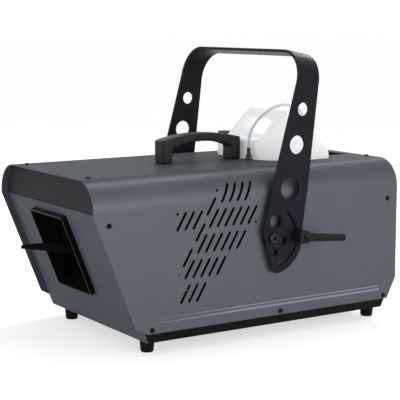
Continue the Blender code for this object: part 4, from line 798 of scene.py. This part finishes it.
# %% Soft tank
TANK_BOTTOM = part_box("fluid_tank")[0].z
RIDGE_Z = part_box("tank_head")[1].z
RIDGE_Y = 0.1145
RIDGE_FLAT = 0.007
FRONT_EAVE = 0.255
REAR_EAVE = 0.2345
TANK_SHOULDER = 0.255
SHOULDER_EDGE = 0.008
GABLE_LEFT = -0.043
GABLE_ROUND = 0.010
RIGHT_ROUND = 0.028
HOLE_LEFT = -0.033
HOLE_RIGHT = 0.034
HOLE_LOW = 0.262
HOLE_HIGH = 0.284
HOLE_ROUND = 0.009
HOLE_FLARE = 0.004
GRIP_HALF = 0.014
TANK_VOXEL = 0.0016
TANK_ROUNDS = 7

gable = [
    (TANK_FRONT, TANK_BOTTOM),
    (TANK_REAR, TANK_BOTTOM),
    (TANK_REAR, REAR_EAVE),
    (RIDGE_Y + RIDGE_FLAT / 2, RIDGE_Z),
    (RIDGE_Y - RIDGE_FLAT / 2, RIDGE_Z),
    (TANK_FRONT, FRONT_EAVE),
]
edge_middle = (SHOULDER_EDGE - TANK_HALF, TANK_SHOULDER - SHOULDER_EDGE)
ends = [(-TANK_HALF, 0)] + arc(edge_middle, SHOULDER_EDGE, 2 * QUARTER, QUARTER, 8)
ends.append((GABLE_LEFT, TANK_SHOULDER))
ends += arc((GABLE_LEFT + GABLE_ROUND, RIDGE_Z - GABLE_ROUND), GABLE_ROUND, 2 * QUARTER, QUARTER)
ends += arc((TANK_HALF - RIGHT_ROUND, RIDGE_Z - RIGHT_ROUND), RIGHT_ROUND, QUARTER, 0, 16)
ends.append((TANK_HALF, 0))


def hand_hole(grow, front, rear):
    left, right = HOLE_LEFT - grow, HOLE_RIGHT + grow
    outline = rounded(left, right, HOLE_LOW - grow, HOLE_HIGH + grow, HOLE_ROUND + grow)
    return prism([outline], front, rear, "Y")


tank = prism([gable], -TANK_HALF, TANK_HALF, "X")
tank = carve(tank, prism([tank_plan(0)], 0, 2 * BODY_TOP, "Z"), "INTERSECT")
tank = carve(tank, prism([ends], 0, 2 * REAR, "Y"), "INTERSECT")
tank = carve(tank, hand_hole(0, 0, 2 * REAR))
tank = carve(tank, hand_hole(HOLE_FLARE, 0, RIDGE_Y - GRIP_HALF))
tank = carve(tank, hand_hole(HOLE_FLARE, RIDGE_Y + GRIP_HALF, 2 * REAR))

# %% [markdown]
# The filler neck stands on the tank's low shoulder. Its screw cap is dark, with grip ribs round its
# side. The ribs are points of the profile's circle moved in and out. Inside it is hollow, so that it
# turns round the neck without touching it.

# %% Filler neck and cap
cap_low, cap_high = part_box("tank_cap")
CAP_PLACE = shift(*middle_of("tank_cap").xy, 0)
CAP_RADIUS = (cap_high.x - cap_low.x) / 2
CAP_TOP = cap_high.z
CAP_FOOT = cap_low.z
CAP_WALL = 0.002
CAP_RIM = 0.0009
CAP_DISH = (0.5, 0.75)
CAP_RIBS = 30
RIB_DEPTH = 0.0006
NECK_RADIUS = 0.0085

neck = lathe([(NECK_RADIUS, CAP_TOP - CAP_WALL - FIT), (NECK_RADIUS, TANK_SHOULDER - CAP_WALL)])
tank = soften(carve(tank, moved(neck, CAP_PLACE), "UNION"), TANK_VOXEL, TANK_ROUNDS)
piece("soft_tank", tank, tank_white, "tank", ["fluid_tank", "tank_head", "tank_shoulder"])


def ribbed(profile, ribs, depth):
    """A turned shape with grooves along its side. A profile's third value says how deep they are."""
    rows = []
    for radius, height, share in profile:
        row = []
        for k, (x, y) in enumerate(circle((0, 0), 1, 4 * ribs)):
            grooved = radius - (depth * share if k % 4 < 2 else 0)
            row.append((x * grooved, y * grooved, height))
        rows.append(row)
    return loft(rows)


cap = ribbed([
    (CAP_RADIUS * CAP_DISH[0], CAP_TOP - CAP_RIM / 2, 0),
    (CAP_RADIUS * CAP_DISH[1], CAP_TOP, 0),
    (CAP_RADIUS - CAP_RIM, CAP_TOP, 0),
    (CAP_RADIUS, CAP_TOP - CAP_RIM, 1),
    (CAP_RADIUS, CAP_FOOT, 1),
    (NECK_RADIUS + FIT, CAP_FOOT, 0),
    (NECK_RADIUS + FIT, CAP_TOP - CAP_WALL, 0),
], CAP_RIBS, RIB_DEPTH)
piece("screw_cap", moved(cap, CAP_PLACE), cap_grey, "tank_cap", ["tank_cap"])
print("the tank has", len(tank.polygons), "faces")

# %% [markdown]
# A rubber bung closes the hole where the tube enters the tank, and a small cone-shaped gland with a thin
# flange holds the tube on the case. Both are turned shapes, given as shares of the radius and heights.

# %% Bung and gland
BUNG_STEM = 0.80
BUNG_HEAD = [(0.55, 0.0), (0.90, 0.0008), (1.0, 0.003), (1.0, 0.006), (0.86, 0.007)]
bung_radius = (bung_high.x - bung_low.x) / 2
profile = [(bung_radius * share, BUNG_TOP - drop) for share, drop in BUNG_HEAD]
profile.append((bung_radius * BUNG_STEM, bung_low.z))
piece("bung", moved(lathe(profile), shift(BUNG_X, BUNG_Y, 0)), rubber, "tank", ["tube_bung"])

SEAT = BODY_TOP + FIT
GLAND_RIBS = 14
GLAND_NECK = [(0.60, GLAND_TIP, 0), (0.66, GLAND_TIP - 0.0008, 1), (0.67, SEAT + 0.0090, 1)]
GLAND_CONE = [(0.58, 0.0085), (0.72, 0.0030), (0.78, 0.0014), (0.97, 0.0011), (1.0, 0.0008), (1.0, 0.0)]
gland_radius = (gland_high.x - gland_low.x) / 2
profile = [(TUBE_DIAMETER * share, height, groove) for share, height, groove in GLAND_NECK]
profile += [(gland_radius * share, SEAT + rise, 0) for share, rise in GLAND_CONE]
gland = ribbed(profile, GLAND_RIBS, FIT)
piece("gland", moved(gland, shift(GLAND_X, GLAND_Y, 0)), gland_grey, stands_for=["tube_gland"])

# %% [markdown]
# ## The carry handle
# A rubber-like bar on two short posts, bowed up in the middle. Its outline is extruded, trimmed to a
# plan with round ends and then melted, so that a hand finds no edge on it.

# %% Carry handle
handle_low, handle_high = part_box("carry_handle")
HANDLE_HALF = handle_high.x
HANDLE_FRONT = handle_low.y - MIDDLE_Y
HANDLE_REAR = handle_high.y - MIDDLE_Y
HANDLE_POST = 0.0190
HANDLE_END = 0.031
HANDLE_MID = handle_high.z - handle_low.z
HANDLE_GRIP = 0.0115
HANDLE_ROUND = 0.009
HANDLE_VOXEL = 0.0011
HANDLE_ROUNDS = 9
handle_base = handle_low.z
handle_middle = (HANDLE_FRONT + HANDLE_REAR) / 2
handle_outer = (HANDLE_REAR - HANDLE_FRONT) / 2
handle_inner = handle_outer - HANDLE_POST


def bow(half, end_rise, mid_rise, steps=28):
    points = []
    for k in range(steps + 1):
        share = 2 * k / steps - 1
        rise = mid_rise - (mid_rise - end_rise) * share * share
        points.append((handle_middle + half * share, handle_base + rise))
    return points


outline = [(HANDLE_FRONT, handle_base)] + bow(handle_outer, HANDLE_END, HANDLE_MID)
outline += [(HANDLE_REAR, handle_base), (handle_middle + handle_inner, handle_base)]
outline += bow(handle_inner, HANDLE_END - HANDLE_GRIP, HANDLE_MID - HANDLE_GRIP)[::-1]
outline.append((handle_middle - handle_inner, handle_base))
handle = prism([outline], -HANDLE_HALF, HANDLE_HALF, "X")
plan = rounded(-HANDLE_HALF, HANDLE_HALF, HANDLE_FRONT, HANDLE_REAR, HANDLE_ROUND)
handle = carve(handle, prism([plan], BODY_TOP, BODY_TOP + 2 * HANDLE_MID, "Z"), "INTERSECT")
handle = soften(handle, HANDLE_VOXEL, HANDLE_ROUNDS)
piece("handle", handle, grip_rubber, stands_for=["carry_handle"])
print("the handle has", len(handle.polygons), "faces")

# %% [markdown]
# ## The yoke
# A flat strip is bent over the case like a bucket's bail, and both arms widen into a sector with a
# curved slot. Holes of three sizes lighten the arms. The strip is drawn from the front, the arm from the
# side, and what the two extrusions share is the yoke. Its frame stands at the pivot and leans back.

# %% Bent yoke
PIVOT_Y = 0.0198
PIVOT_Z = 0.1388
LEAN = math.radians(11.2)
YOKE = shift(0, PIVOT_Y, PIVOT_Z) @ turn(-LEAN, "X")
YOKE_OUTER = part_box("yoke")[1].x
YOKE_FACE = YOKE_OUTER + FIT
YOKE_SHEET = 0.004
YOKE_BEND = 0.042
YOKE_TOP = 0.253
YOKE_CENTRE = 0.0155
YOKE_HALVES = {"top": 0.0175, "waist": 0.0285, "foot": 0.0325}
YOKE_TOP_RUN = 0.211
YOKE_WAIST = 0.070
YOKE_HEEL = 0.007
YOKE_TOE = (0.0084, -0.0435)
YOKE_TOE_SPREAD = math.radians(8)
YOKE_SECTOR = 0.0495
YOKE_SECTOR_RISE = 0.0182
YOKE_HOLES = [
    (0.0145, 0.176, 0.0090),
    (0.0145, 0.128, 0.0125),
    (0.0145, 0.069, 0.0150),
    (0.0004, 0.0227, 0.0095),
    (0.0177, -0.0019, 0.0058),
    (0.0073, -0.0188, 0.0048),
    (0.0, 0.0, 0.0043),
]
SLOT_ARC = 0.038
SLOT_HALF = 0.0033
SLOT_SWEEP = math.radians(64)
BEND_STEPS = 20


def arm_outline():
    sector_start = math.atan2(YOKE_TOE[1], YOKE_TOE[0]) + YOKE_TOE_SPREAD
    sector_end = math.asin(YOKE_SECTOR_RISE / YOKE_SECTOR)
    top = YOKE_TOP + YOKE_SHEET
    points = [
        (YOKE_CENTRE + YOKE_HALVES["top"], top),
        (YOKE_CENTRE - YOKE_HALVES["top"], top),
        (YOKE_CENTRE - YOKE_HALVES["top"], YOKE_TOP_RUN),
        (YOKE_CENTRE - YOKE_HALVES["waist"], YOKE_WAIST),
        (YOKE_CENTRE - YOKE_HALVES["foot"], YOKE_HEEL),
        YOKE_TOE,
    ]
    points += arc((0, 0), YOKE_SECTOR, sector_start, sector_end, 24)
    points.append((YOKE_CENTRE + YOKE_HALVES["waist"], YOKE_WAIST))
    return points + [(YOKE_CENTRE + YOKE_HALVES["top"], YOKE_TOP_RUN)]


def curved_slot():
    outer = arc((0, 0), SLOT_ARC + SLOT_HALF, -SLOT_SWEEP, SLOT_SWEEP, 32)
    inner = arc((0, 0), SLOT_ARC - SLOT_HALF, SLOT_SWEEP, -SLOT_SWEEP, 32)
    end = (SLOT_ARC * math.cos(SLOT_SWEEP), SLOT_ARC * math.sin(SLOT_SWEEP))
    cap = arc(end, SLOT_HALF, SLOT_SWEEP, SLOT_SWEEP + math.pi, 10)[1:-1]
    foot = arc((end[0], -end[1]), SLOT_HALF, math.pi - SLOT_SWEEP, 2 * math.pi - SLOT_SWEEP, 10)[1:-1]
    return outer + cap + inner + foot


bail = bent_sheet(YOKE_OUTER, YOKE_TOP, YOKE_BEND, -YOKE_SECTOR, YOKE_SHEET, BEND_STEPS)
yoke = prism([bail], -YOKE_TOP, YOKE_TOP, "Y")
yoke = carve(yoke, prism([arm_outline()], *THROUGH_CASE), "INTERSECT")
holes = [curved_slot()] + [circle((y, z), radius, 48) for y, z, radius in YOKE_HOLES]
yoke = carve(yoke, prism(holes, *THROUGH_CASE))
piece("bail", moved(yoke, YOKE), yoke_black, "yoke", ["yoke"], edge=0.0005)
print("the yoke has", len(yoke.polygons), "faces")

# %% [markdown]
# ## Pivots and clamp levers
# Each arm hangs on a shoulder bolt, and a clamp lever on a stud in the slot holds its tilt. The lever is
# a ribbed hub, a square boss with a socket screw, and a flat handle that splays away from the case. The
# handle runs from section to section, so that it can taper and end square.

# %% Clamp levers
STUD_Y = PIVOT_Y + SLOT_ARC
HUB_RADIUS = 0.0085
HUB_LENGTH = 0.010
HUB_EDGE = 0.0008
BOSS_HALF = 0.0083
BOSS_ROUND = 0.0030
BOSS_EDGE = 0.0012
BOSS_LENGTH = 0.011
BOSS_SOCKET = 0.0027
HUB_RIBS = 18
HUB_GROOVE = 0.0007
LEVER_SPLAY = math.radians(14)
LEVER_DROOP = math.radians(3.5)
LEVER_SECTIONS = [
    (0.0030, 0.0056, 0.0048),
    (0.0120, 0.0056, 0.0048),
    (0.0200, 0.0054, 0.0043),
    (0.0400, 0.0049, 0.0036),
    (0.0600, 0.0044, 0.0032),
    (0.0615, 0.0042, 0.0030),
    (0.0620, 0.0037, 0.0025),
]


def grip_section(reach, tall, thick, steps=24):
    """One section of the lever's handle: between a circle and a rectangle."""
    points = []
    for k in range(steps):
        angle = 4 * QUARTER * k / steps
        x, z = math.cos(angle), math.sin(angle)
        swell = (abs(x) ** 4 + abs(z) ** 4) ** -0.25
        points.append((thick * x * swell, reach, tall * z * swell))
    return points


LEVER_HUB = [
    (HUB_RADIUS * 0.9, 0, 0),
    (HUB_RADIUS, HUB_EDGE, 1),
    (HUB_RADIUS, HUB_LENGTH, 1),
    (HUB_RADIUS * 0.8, HUB_LENGTH + BOSS_EDGE, 0),
]
boss_top = HUB_LENGTH + BOSS_LENGTH
boss_plan = rounded(-BOSS_HALF, BOSS_HALF, -BOSS_HALF, BOSS_HALF, BOSS_ROUND)
socket_plan = circle((0, 0), BOSS_SOCKET, 6)

for side, sign in SIDES:
    boss = edged(prism([boss_plan], HUB_LENGTH, boss_top, "Z"), BOSS_EDGE)
    boss = carve(boss, prism([socket_plan], boss_top - BOSS_SOCKET, 2 * boss_top, "Z"))
    lever = carve(ribbed(LEVER_HUB, HUB_RIBS, HUB_GROOVE), boss, "UNION")
    place = shift(sign * YOKE_FACE, STUD_Y, PIVOT_Z)
    lever = moved(lever, turn(sign * QUARTER, "Y"), place)
    grip = loft([grip_section(*section) for section in LEVER_SECTIONS])
    tilt = turn(-sign * LEVER_SPLAY, "Z") @ turn(-LEVER_DROOP, "X")
    root = YOKE_FACE + HUB_LENGTH + BOSS_LENGTH / 2
    grip = moved(grip, shift(sign * root, STUD_Y, PIVOT_Z) @ tilt)
    lever = carve(lever, grip, "UNION")
    piece(f"lever_{side}", lever, black_plastic, f"clamp_lever_{side}", [f"clamp_lever_{side}"])

# %% [markdown]
# The pivot bolts have low round heads with a hexagon socket. A head is a small lathe shape with a six
# sided hole cut into it.

# %% Pivot bolts
BOLT_HEAD = 0.007
BOLT_RISE = 0.004
BOLT_SHANK = 0.004
SOCKET_RADIUS = 0.0032
NUT_FACE = 0.1337
NUT_RISE = 0.006
BOLT_CROWN = [(0.75, 0.0), (0.95, 0.0006), (1.0, 0.0016)]
bolt_top = YOKE_FACE + BOLT_RISE
profile = [(BOLT_HEAD * share, bolt_top - drop) for share, drop in BOLT_CROWN]
profile += [(BOLT_HEAD, YOKE_FACE), (BOLT_SHANK, YOKE_FACE), (BOLT_SHANK, NUT_FACE)]
profile += [(BOLT_HEAD, NUT_FACE), (BOLT_HEAD, NUT_FACE - NUT_RISE)]
socket_plan = circle((0, 0), SOCKET_RADIUS, 6)
for side, sign in SIDES:
    socket = prism([socket_plan], YOKE_FACE + BOLT_RISE / 3, bolt_top + BOLT_RISE, "Z")
    bolt = carve(lathe(profile), socket)
    bolt = moved(bolt, turn(sign * QUARTER, "Y"), shift(0, PIVOT_Y, PIVOT_Z))
    piece(f"bolt_{side}", bolt, bolt_black, stands_for=[f"pivot_bolt_{side}"])

# %% [markdown]
# ## Feet and screws
# The feet are tapered rubber buttons. The cover is held by small black domed screws along its edges.
# Both repeat, so each is one function in a loop. A screw's cross is two thin bars cut into its dome.

# %% Feet
FOOT_TOP = 0.010
FOOT_TREAD = 0.0083
FOOT_CROWN = 0.001
FOOT_ROUND = 0.0008
FOOT_SKIRT = 0.0022
FOOT_RECESS = 0.004
for node in sorted(name for name in frame["nodes"] if name.startswith("foot_")):
    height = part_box(node)[1].z
    profile = [
        (FOOT_TOP - FOOT_ROUND / 2, height),
        (FOOT_TOP, height - FOOT_CROWN),
        (FOOT_TREAD + FOOT_ROUND / 2, FOOT_SKIRT),
        (FOOT_TREAD, FOOT_ROUND),
        (FOOT_TREAD - FOOT_ROUND, 0),
        (FOOT_RECESS, 0),
        (FOOT_RECESS, FOOT_RECESS),
    ]
    foot = moved(lathe(profile), shift(*middle_of(node).xy, 0))
    piece(node.replace("foot", "button"), foot, rubber, stands_for=[node])

# %% Screws
SCREW_RADIUS = 0.0036
SCREW_RISE = 0.0023
CROSS_HALF = 0.0022
CROSS_WIDTH = 0.0005
CROSS_FLOOR = 0.0013
DOME = (0.02, QUARTER * 0.86)
DOME_FOOT = 0.98
SIDE_SCREWS = [(-0.2234, 0.1753), (0.2274, 0.1755), (-0.1624, 0.0350), (0.0399, 0.0350), (0.2228, 0.0350)]
TOP_SCREWS = [(0.0895, -0.227), (0.077, 0.238)]
REAR_SCREWS = [(0.122, 0.075), (0.122, 0.190), (0.060, 0.214)]
screw_paint = paint("black_paint", (0.008, 0.008, 0.009), 0.40, 0.30, name="screw_paint")


def screw(name, place, facing):
    """A domed cross-head screw on a face, looking along +Z before it is turned."""
    dome = arc((0, 0), 1, *DOME, 6)
    profile = [(SCREW_RADIUS * x, SCREW_RISE * y) for x, y in dome][::-1]
    head = lathe(profile + [(SCREW_RADIUS * DOME_FOOT, 0)], 24)
    for length, width in ((CROSS_HALF, CROSS_WIDTH), (CROSS_WIDTH, CROSS_HALF)):
        bar = rounded(-length, length, -width, width, CROSS_WIDTH / 2, 2)
        head = carve(head, prism([bar], CROSS_FLOOR, 2 * SCREW_RISE, "Z"))
    piece(name, moved(head, facing, shift(*place)), screw_paint)


GAP = 0.00005
rear_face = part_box("rear_panel")[1].y - MIDDLE_Y
for side, sign in SIDES:
    for k, (y, z) in enumerate(SIDE_SCREWS):
        screw(f"side_screw_{side}_{k}", (sign * (HALF_WIDTH + GAP), y, z), turn(sign * QUARTER, "Y"))
    for k, (x, y) in enumerate(TOP_SCREWS):
        screw(f"top_screw_{side}_{k}", (sign * x, y, BODY_TOP + GAP), Matrix.Identity(4))
    for k, (x, z) in enumerate(REAR_SCREWS):
        screw(f"rear_screw_{side}_{k}", (sign * x, rear_face + GAP, z), turn(-QUARTER, "X"))
print(len(shown), "pieces so far")

# %% [markdown]
# ## Painted highlights along a bead
# Two light stripes low along each side are painted highlights: they stand in for the light that catches
# a pressed bead in the sheet, and the bead itself is not modelled. Both start as a point behind the
# front edge and grow towards the rear, the lower one more. They are drawn as thin films that lie just
# proud of the paint, which survives any view and any export.

# %% Painted highlight stripes along the sides
FILM = 0.00008
STRIPE_START = -0.176
STRIPE_FULL = -0.020
STRIPE_END = 0.2125
STRIPES = [(0.0432, 0.0030), (0.0488, 0.0017)]
# Each film is a painted highlight of the bead, not a printed stripe.
for side, sign in SIDES:
    near = sign * (HALF_WIDTH + GAP)
    far = near + sign * FILM
    for k, (low, width) in enumerate(STRIPES):
        outline = [
            (STRIPE_START, low),
            (STRIPE_END, low),
            (STRIPE_END + width, low + width),
            (STRIPE_FULL, low + width),
        ]
        film = prism([outline], min(near, far), max(near, far), "X")
        piece(f"stripe_{side}_{k}", film, painted_stripe_highlight)

# %% [markdown]
# ## Rear fittings
# The rear carries a mains inlet, a rocker switch, an output knob and a remote socket. They are standard
# parts, and a few familiar details make them read: three flat pins in the inlet, a dished rocker, ribs
# on the knob, round contacts in the socket.

# %% Mains inlet and remote socket
INLET_BODY = (0.0155, 0.0115)
INLET_FLANGE = (0.025, 0.014)
INLET_CAVITY = (0.0130, 0.0090)
INLET_DEPTH = 0.024
INLET_WALL = 0.003
FLANGE = 0.002
FLANGE_CORNER = 0.003
BODY_CORNER = 0.001
CHAMFER = 0.004
PIN_PLACES = [(-0.007, -0.002), (0.007, -0.002), (0.0, 0.002)]
PIN_HALF = (0.001, 0.002)
PIN_ROUND = 0.0006
PIN_TIP = -0.004


def centred(half, corner, steps=8):
    """A rounded rectangle about the origin, given by its half sizes."""
    wide, tall = half
    return rounded(-wide, wide, -tall, tall, corner, steps)


def seat_of(node):
    """Where a fitting's flange sits on the rear panel."""
    middle = middle_of(node)
    return shift(middle.x, rear_face + FIT, middle.z)


def flanged(face, trunk, depth):
    """A fitting that sits in a panel: a thin flange outside and a body behind it."""
    flange = prism([face], 0, FLANGE, "Y")
    return carve(flange, prism([trunk], -depth, FLANGE / 2, "Y"), "UNION")


inlet = flanged(centred(INLET_FLANGE, FLANGE_CORNER), centred(INLET_BODY, BODY_CORNER), INLET_DEPTH)
wide, tall = INLET_CAVITY
cavity = [(-wide, -tall), (wide, -tall), (wide, tall - CHAMFER)]
cavity += [(wide - CHAMFER, tall), (CHAMFER - wide, tall), (-wide, tall - CHAMFER)]
inlet = carve(inlet, prism([cavity], INLET_WALL - INLET_DEPTH, 2 * FLANGE, "Y"))
INLET = seat_of("power_inlet")
piece("inlet", moved(inlet, INLET), black_plastic, stands_for=["power_inlet"], edge=0.0004)
pins = []
for x, z in PIN_PLACES:
    wide, tall = PIN_HALF
    pins.append(rounded(x - wide, x + wide, z - tall, z + tall, PIN_ROUND, 3))
pins = prism(pins, INLET_WALL + GAP - INLET_DEPTH, PIN_TIP, "Y")
piece("inlet_pins", moved(pins, INLET), steel)

SOCKET_FLANGE = (0.013, 0.0155)
BARREL = 0.0115
BORE = 0.0090
SOCKET_DEPTH = 0.022
SOCKET_BORE = 0.016
CONTACT = 0.0012
CONTACT_RING = 0.005
CONTACT_ANGLES = (0.52, 2.62, 4.71)
CONTACT_TIP = -0.003
barrel = flanged(centred(SOCKET_FLANGE, FLANGE_CORNER), circle((0, 0), BARREL), SOCKET_DEPTH)
barrel = carve(barrel, prism([circle((0, 0), BORE)], -SOCKET_BORE, 2 * FLANGE, "Y"))
contacts = []
for angle in CONTACT_ANGLES:
    spot = (CONTACT_RING * math.cos(angle), CONTACT_RING * math.sin(angle))
    contacts.append(circle(spot, CONTACT, 16))
contacts = prism(contacts, GAP - SOCKET_BORE, CONTACT_TIP, "Y")
SOCKET = seat_of("remote_socket")
piece("socket", moved(barrel, SOCKET), zinc, stands_for=["remote_socket"], edge=0.0004)
piece("socket_contacts", moved(contacts, SOCKET), steel)

# %% Rocker switch and output knob
SWITCH_FRAME = (0.012, 0.016)
SWITCH_WINDOW = (0.0070, 0.0110)
SWITCH_TRUNK = (0.0090, 0.0130)
SWITCH_DEPTH = 0.022
switch = flanged(centred(SWITCH_FRAME, BODY_CORNER * 2), centred(SWITCH_TRUNK, BODY_CORNER), SWITCH_DEPTH)
window = centred(SWITCH_WINDOW, PIN_ROUND, 3)
switch = carve(switch, prism([window], FLANGE - SWITCH_DEPTH, 2 * FLANGE, "Y"))
SWITCH = seat_of("power_switch")
piece("switch_frame", moved(switch, SWITCH), black_plastic, stands_for=["power_switch"], edge=0.0005)

ROCKER_HALF = 0.0067
ROCKER_REACH = 0.0101
ROCKER_RISE = 0.0042
ROCKER_VALLEY = 0.0031
ROCKER_TAIL = 0.004
ROCKER_REST = math.radians(8)
ROCKER_STEPS = 16
MARK_SPOT = 0.006
BAR_MARK = (0.0004, 0.0015)
RING_MARK = (0.0017, 0.0011)
dish = []
for k in range(ROCKER_STEPS + 1):
    share = 2 * k / ROCKER_STEPS - 1
    dish.append((ROCKER_VALLEY + (ROCKER_RISE - ROCKER_VALLEY) * share * share, ROCKER_REACH * share))
dish += [(-ROCKER_TAIL, ROCKER_REACH), (-ROCKER_TAIL, -ROCKER_REACH)]
rocker = prism([dish], -ROCKER_HALF, ROCKER_HALF, "X")
bar_mark = prism([centred(BAR_MARK, BAR_MARK[0] / 2, 3)], ROCKER_VALLEY, 2 * ROCKER_RISE, "Y")
rocker = carve(rocker, moved(bar_mark, shift(0, 0, MARK_SPOT)))
outer, inner = [circle((0, -MARK_SPOT), radius, 24) for radius in RING_MARK]
ring_mark = prism([outer], ROCKER_VALLEY, 2 * ROCKER_RISE, "Y")
ring_mark = carve(ring_mark, prism([inner], 0, 3 * ROCKER_RISE, "Y"))
rocker = carve(rocker, ring_mark)
ROCKER = SWITCH @ turn(ROCKER_REST, "X")
piece("rocker", moved(rocker, ROCKER), black_plastic, "switch_rocker", ["switch_rocker"], edge=0.0002)

KNOB_RADIUS = 0.010
KNOB_TOP = 0.0085
KNOB_HEIGHT = 0.014
KNOB_CROWN = 0.001
KNOB_ROUND = 0.0008
KNOB_RIBS = 24
KNOB_GROOVE = 0.0005
POINTER_HALF = 0.0006
knob = ribbed([
    (KNOB_RADIUS, FIT, 1),
    (KNOB_TOP, KNOB_HEIGHT - KNOB_CROWN, 1),
    (KNOB_TOP - KNOB_ROUND, KNOB_HEIGHT, 0),
], KNOB_RIBS, KNOB_GROOVE)
pointer = rounded(-POINTER_HALF, POINTER_HALF, -KNOB_RADIUS, -KNOB_TOP / 3, POINTER_HALF / 2, 2)
knob = carve(knob, prism([pointer], KNOB_HEIGHT - 2 * POINTER_HALF, 2 * KNOB_HEIGHT, "Z"))
knob = moved(knob, turn(-QUARTER, "X"), seat_of("output_knob"))
piece("knob", knob, black_plastic, "output_knob", ["output_knob"])
print(len(shown), "pieces in all")

# %% [markdown]
# ## Solids that stay
# Flat panels, the tray, the well and everything inside the case already have the right shape, so they
# stay as they are. Each gets the finish that its material slot calls for, and the sheet panels get a
# hair of bevel, so that their edges catch light.

# %% Finishes for the carried-over solids
KEPT_FINISHES = [panel_paint, dark_paint, black_paint, yoke_black, black_plastic, rubber]
KEPT_FINISHES += [tank_white, tube_blue, steel, zinc, board_green]
WELD_REACH = 0.00001
HAIR = 0.0003
PANEL_SHARP = math.radians(30)
finish_of = {finish.slot: finish for finish in KEPT_FINISHES}
BEVELLED = ("base_tray", "front_panel", "brow_panel", "rear_panel", "arm_strap", "tank_well")
slot_of = {part["node"]: part["material_slot"] for part in frame["record"]["subparts"]}
for name, solid in frame["nodes"].items():
    solid.data.materials.clear()
    solid.data.materials.append(finish_of[slot_of[name]].material)
    if name in BEVELLED:
        weld = solid.modifiers.new("Join", "WELD")
        weld.merge_threshold = WELD_REACH
        add_bevel(solid, HAIR, 2, PANEL_SHARP)

# %% [markdown]
# ## Floor and light
# The picture is a catalogue shot: a white ground, broad soft light from the camera's side, hardly a
# shadow. A pale floor and a pale world do most of it. A large lamp stands to the machine's right, a
# lower one before the mouth, and a narrow strip hangs behind on the left, for the long highlight on
# the shoulder. Floor and world look white to the camera and in reflections, and light the machine less.

# %% Floor
FLOOR_SIZE = 60.0
FLOOR_GLOW = (0.60, 0.60, 0.60)
PAPER_TONES = ((0.84, 0.84, 0.84), (0.88, 0.88, 0.88))
floor_mesh = bpy.data.meshes.new("floor")
work = bmesh.new()
bmesh.ops.create_grid(work, x_segments=1, y_segments=1, size=FLOOR_SIZE / 2)
work.to_mesh(floor_mesh)
work.free()
held(floor_mesh, "floor")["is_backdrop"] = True

ground = Finish("floor", "pale_floor")
paper = ground.noise(6)
ground.set(Base_Color=ground.blend(paper, *PAPER_TONES))
ground.set(Roughness=0.9, Specular_IOR_Level=0.1)
RAYS_THAT_SEE = ("Is Camera Ray", "Is Glossy Ray", "Is Transmission Ray")
straight, mirrored, through = [ground.node("ShaderNodeLightPath", output=ray) for ray in RAYS_THAT_SEE]
sight = straight + mirrored + through
ground.set(Emission_Color=ground.blend(sight, (0, 0, 0), FLOOR_GLOW), Emission_Strength=1.0)
floor_mesh.materials.append(ground.material)

# %% Sky and lamps
SKY = 0.42
world = bpy.data.worlds.new("studio")
scene.world = world
world.use_nodes = True
sky = world.node_tree
path = sky.nodes.new("ShaderNodeLightPath")
level = sky.nodes.new("ShaderNodeMapRange")
level.inputs["To Min"].default_value = SKY
level.inputs["To Max"].default_value = 1.0
seen = path.outputs[RAYS_THAT_SEE[0]]
for ray in RAYS_THAT_SEE[1:]:
    either = sky.nodes.new("ShaderNodeMath")
    either.operation = "MAXIMUM"
    sky.links.new(seen, either.inputs[0])
    sky.links.new(path.outputs[ray], either.inputs[1])
    seen = either.outputs[0]
sky.links.new(seen, level.inputs["Value"])
backdrop = sky.nodes["Background"]
backdrop.inputs["Color"].default_value = (1, 1, 1, 1)
sky.links.new(level.outputs["Result"], backdrop.inputs["Strength"])


def lamp(name, place, aim, size, power):
    data = bpy.data.lights.new(name, "AREA")
    data.shape = "RECTANGLE"
    data.size, data.size_y = size
    data.energy = power
    item = bpy.data.objects.new(name, data)
    item.location = place
    item.rotation_euler = (Vector(place) - Vector(aim)).to_track_quat("Z", "Y").to_euler()
    scene.collection.objects.link(item)


HEART = (0, 0, 0.15)
lamp("side_light", (2.3, 0.6, 0.7), HEART, (1.6, 1.4), 20)
lamp("mouth_light", (0.2, -2.2, 0.25), HEART, (1.4, 0.6), 15)
lamp("shoulder_strip", (-0.55, 0.9, 1.45), HEART, (0.12, 1.8), 13)
scene.view_settings.view_transform = "Standard"

# %% [markdown]
# ## The dressed size
# The size of the dressed machine, floor left out, is printed at the end.

# %% Sizes and the end
low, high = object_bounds()
print("dressed size", [round(side, 4) for side in high - low])
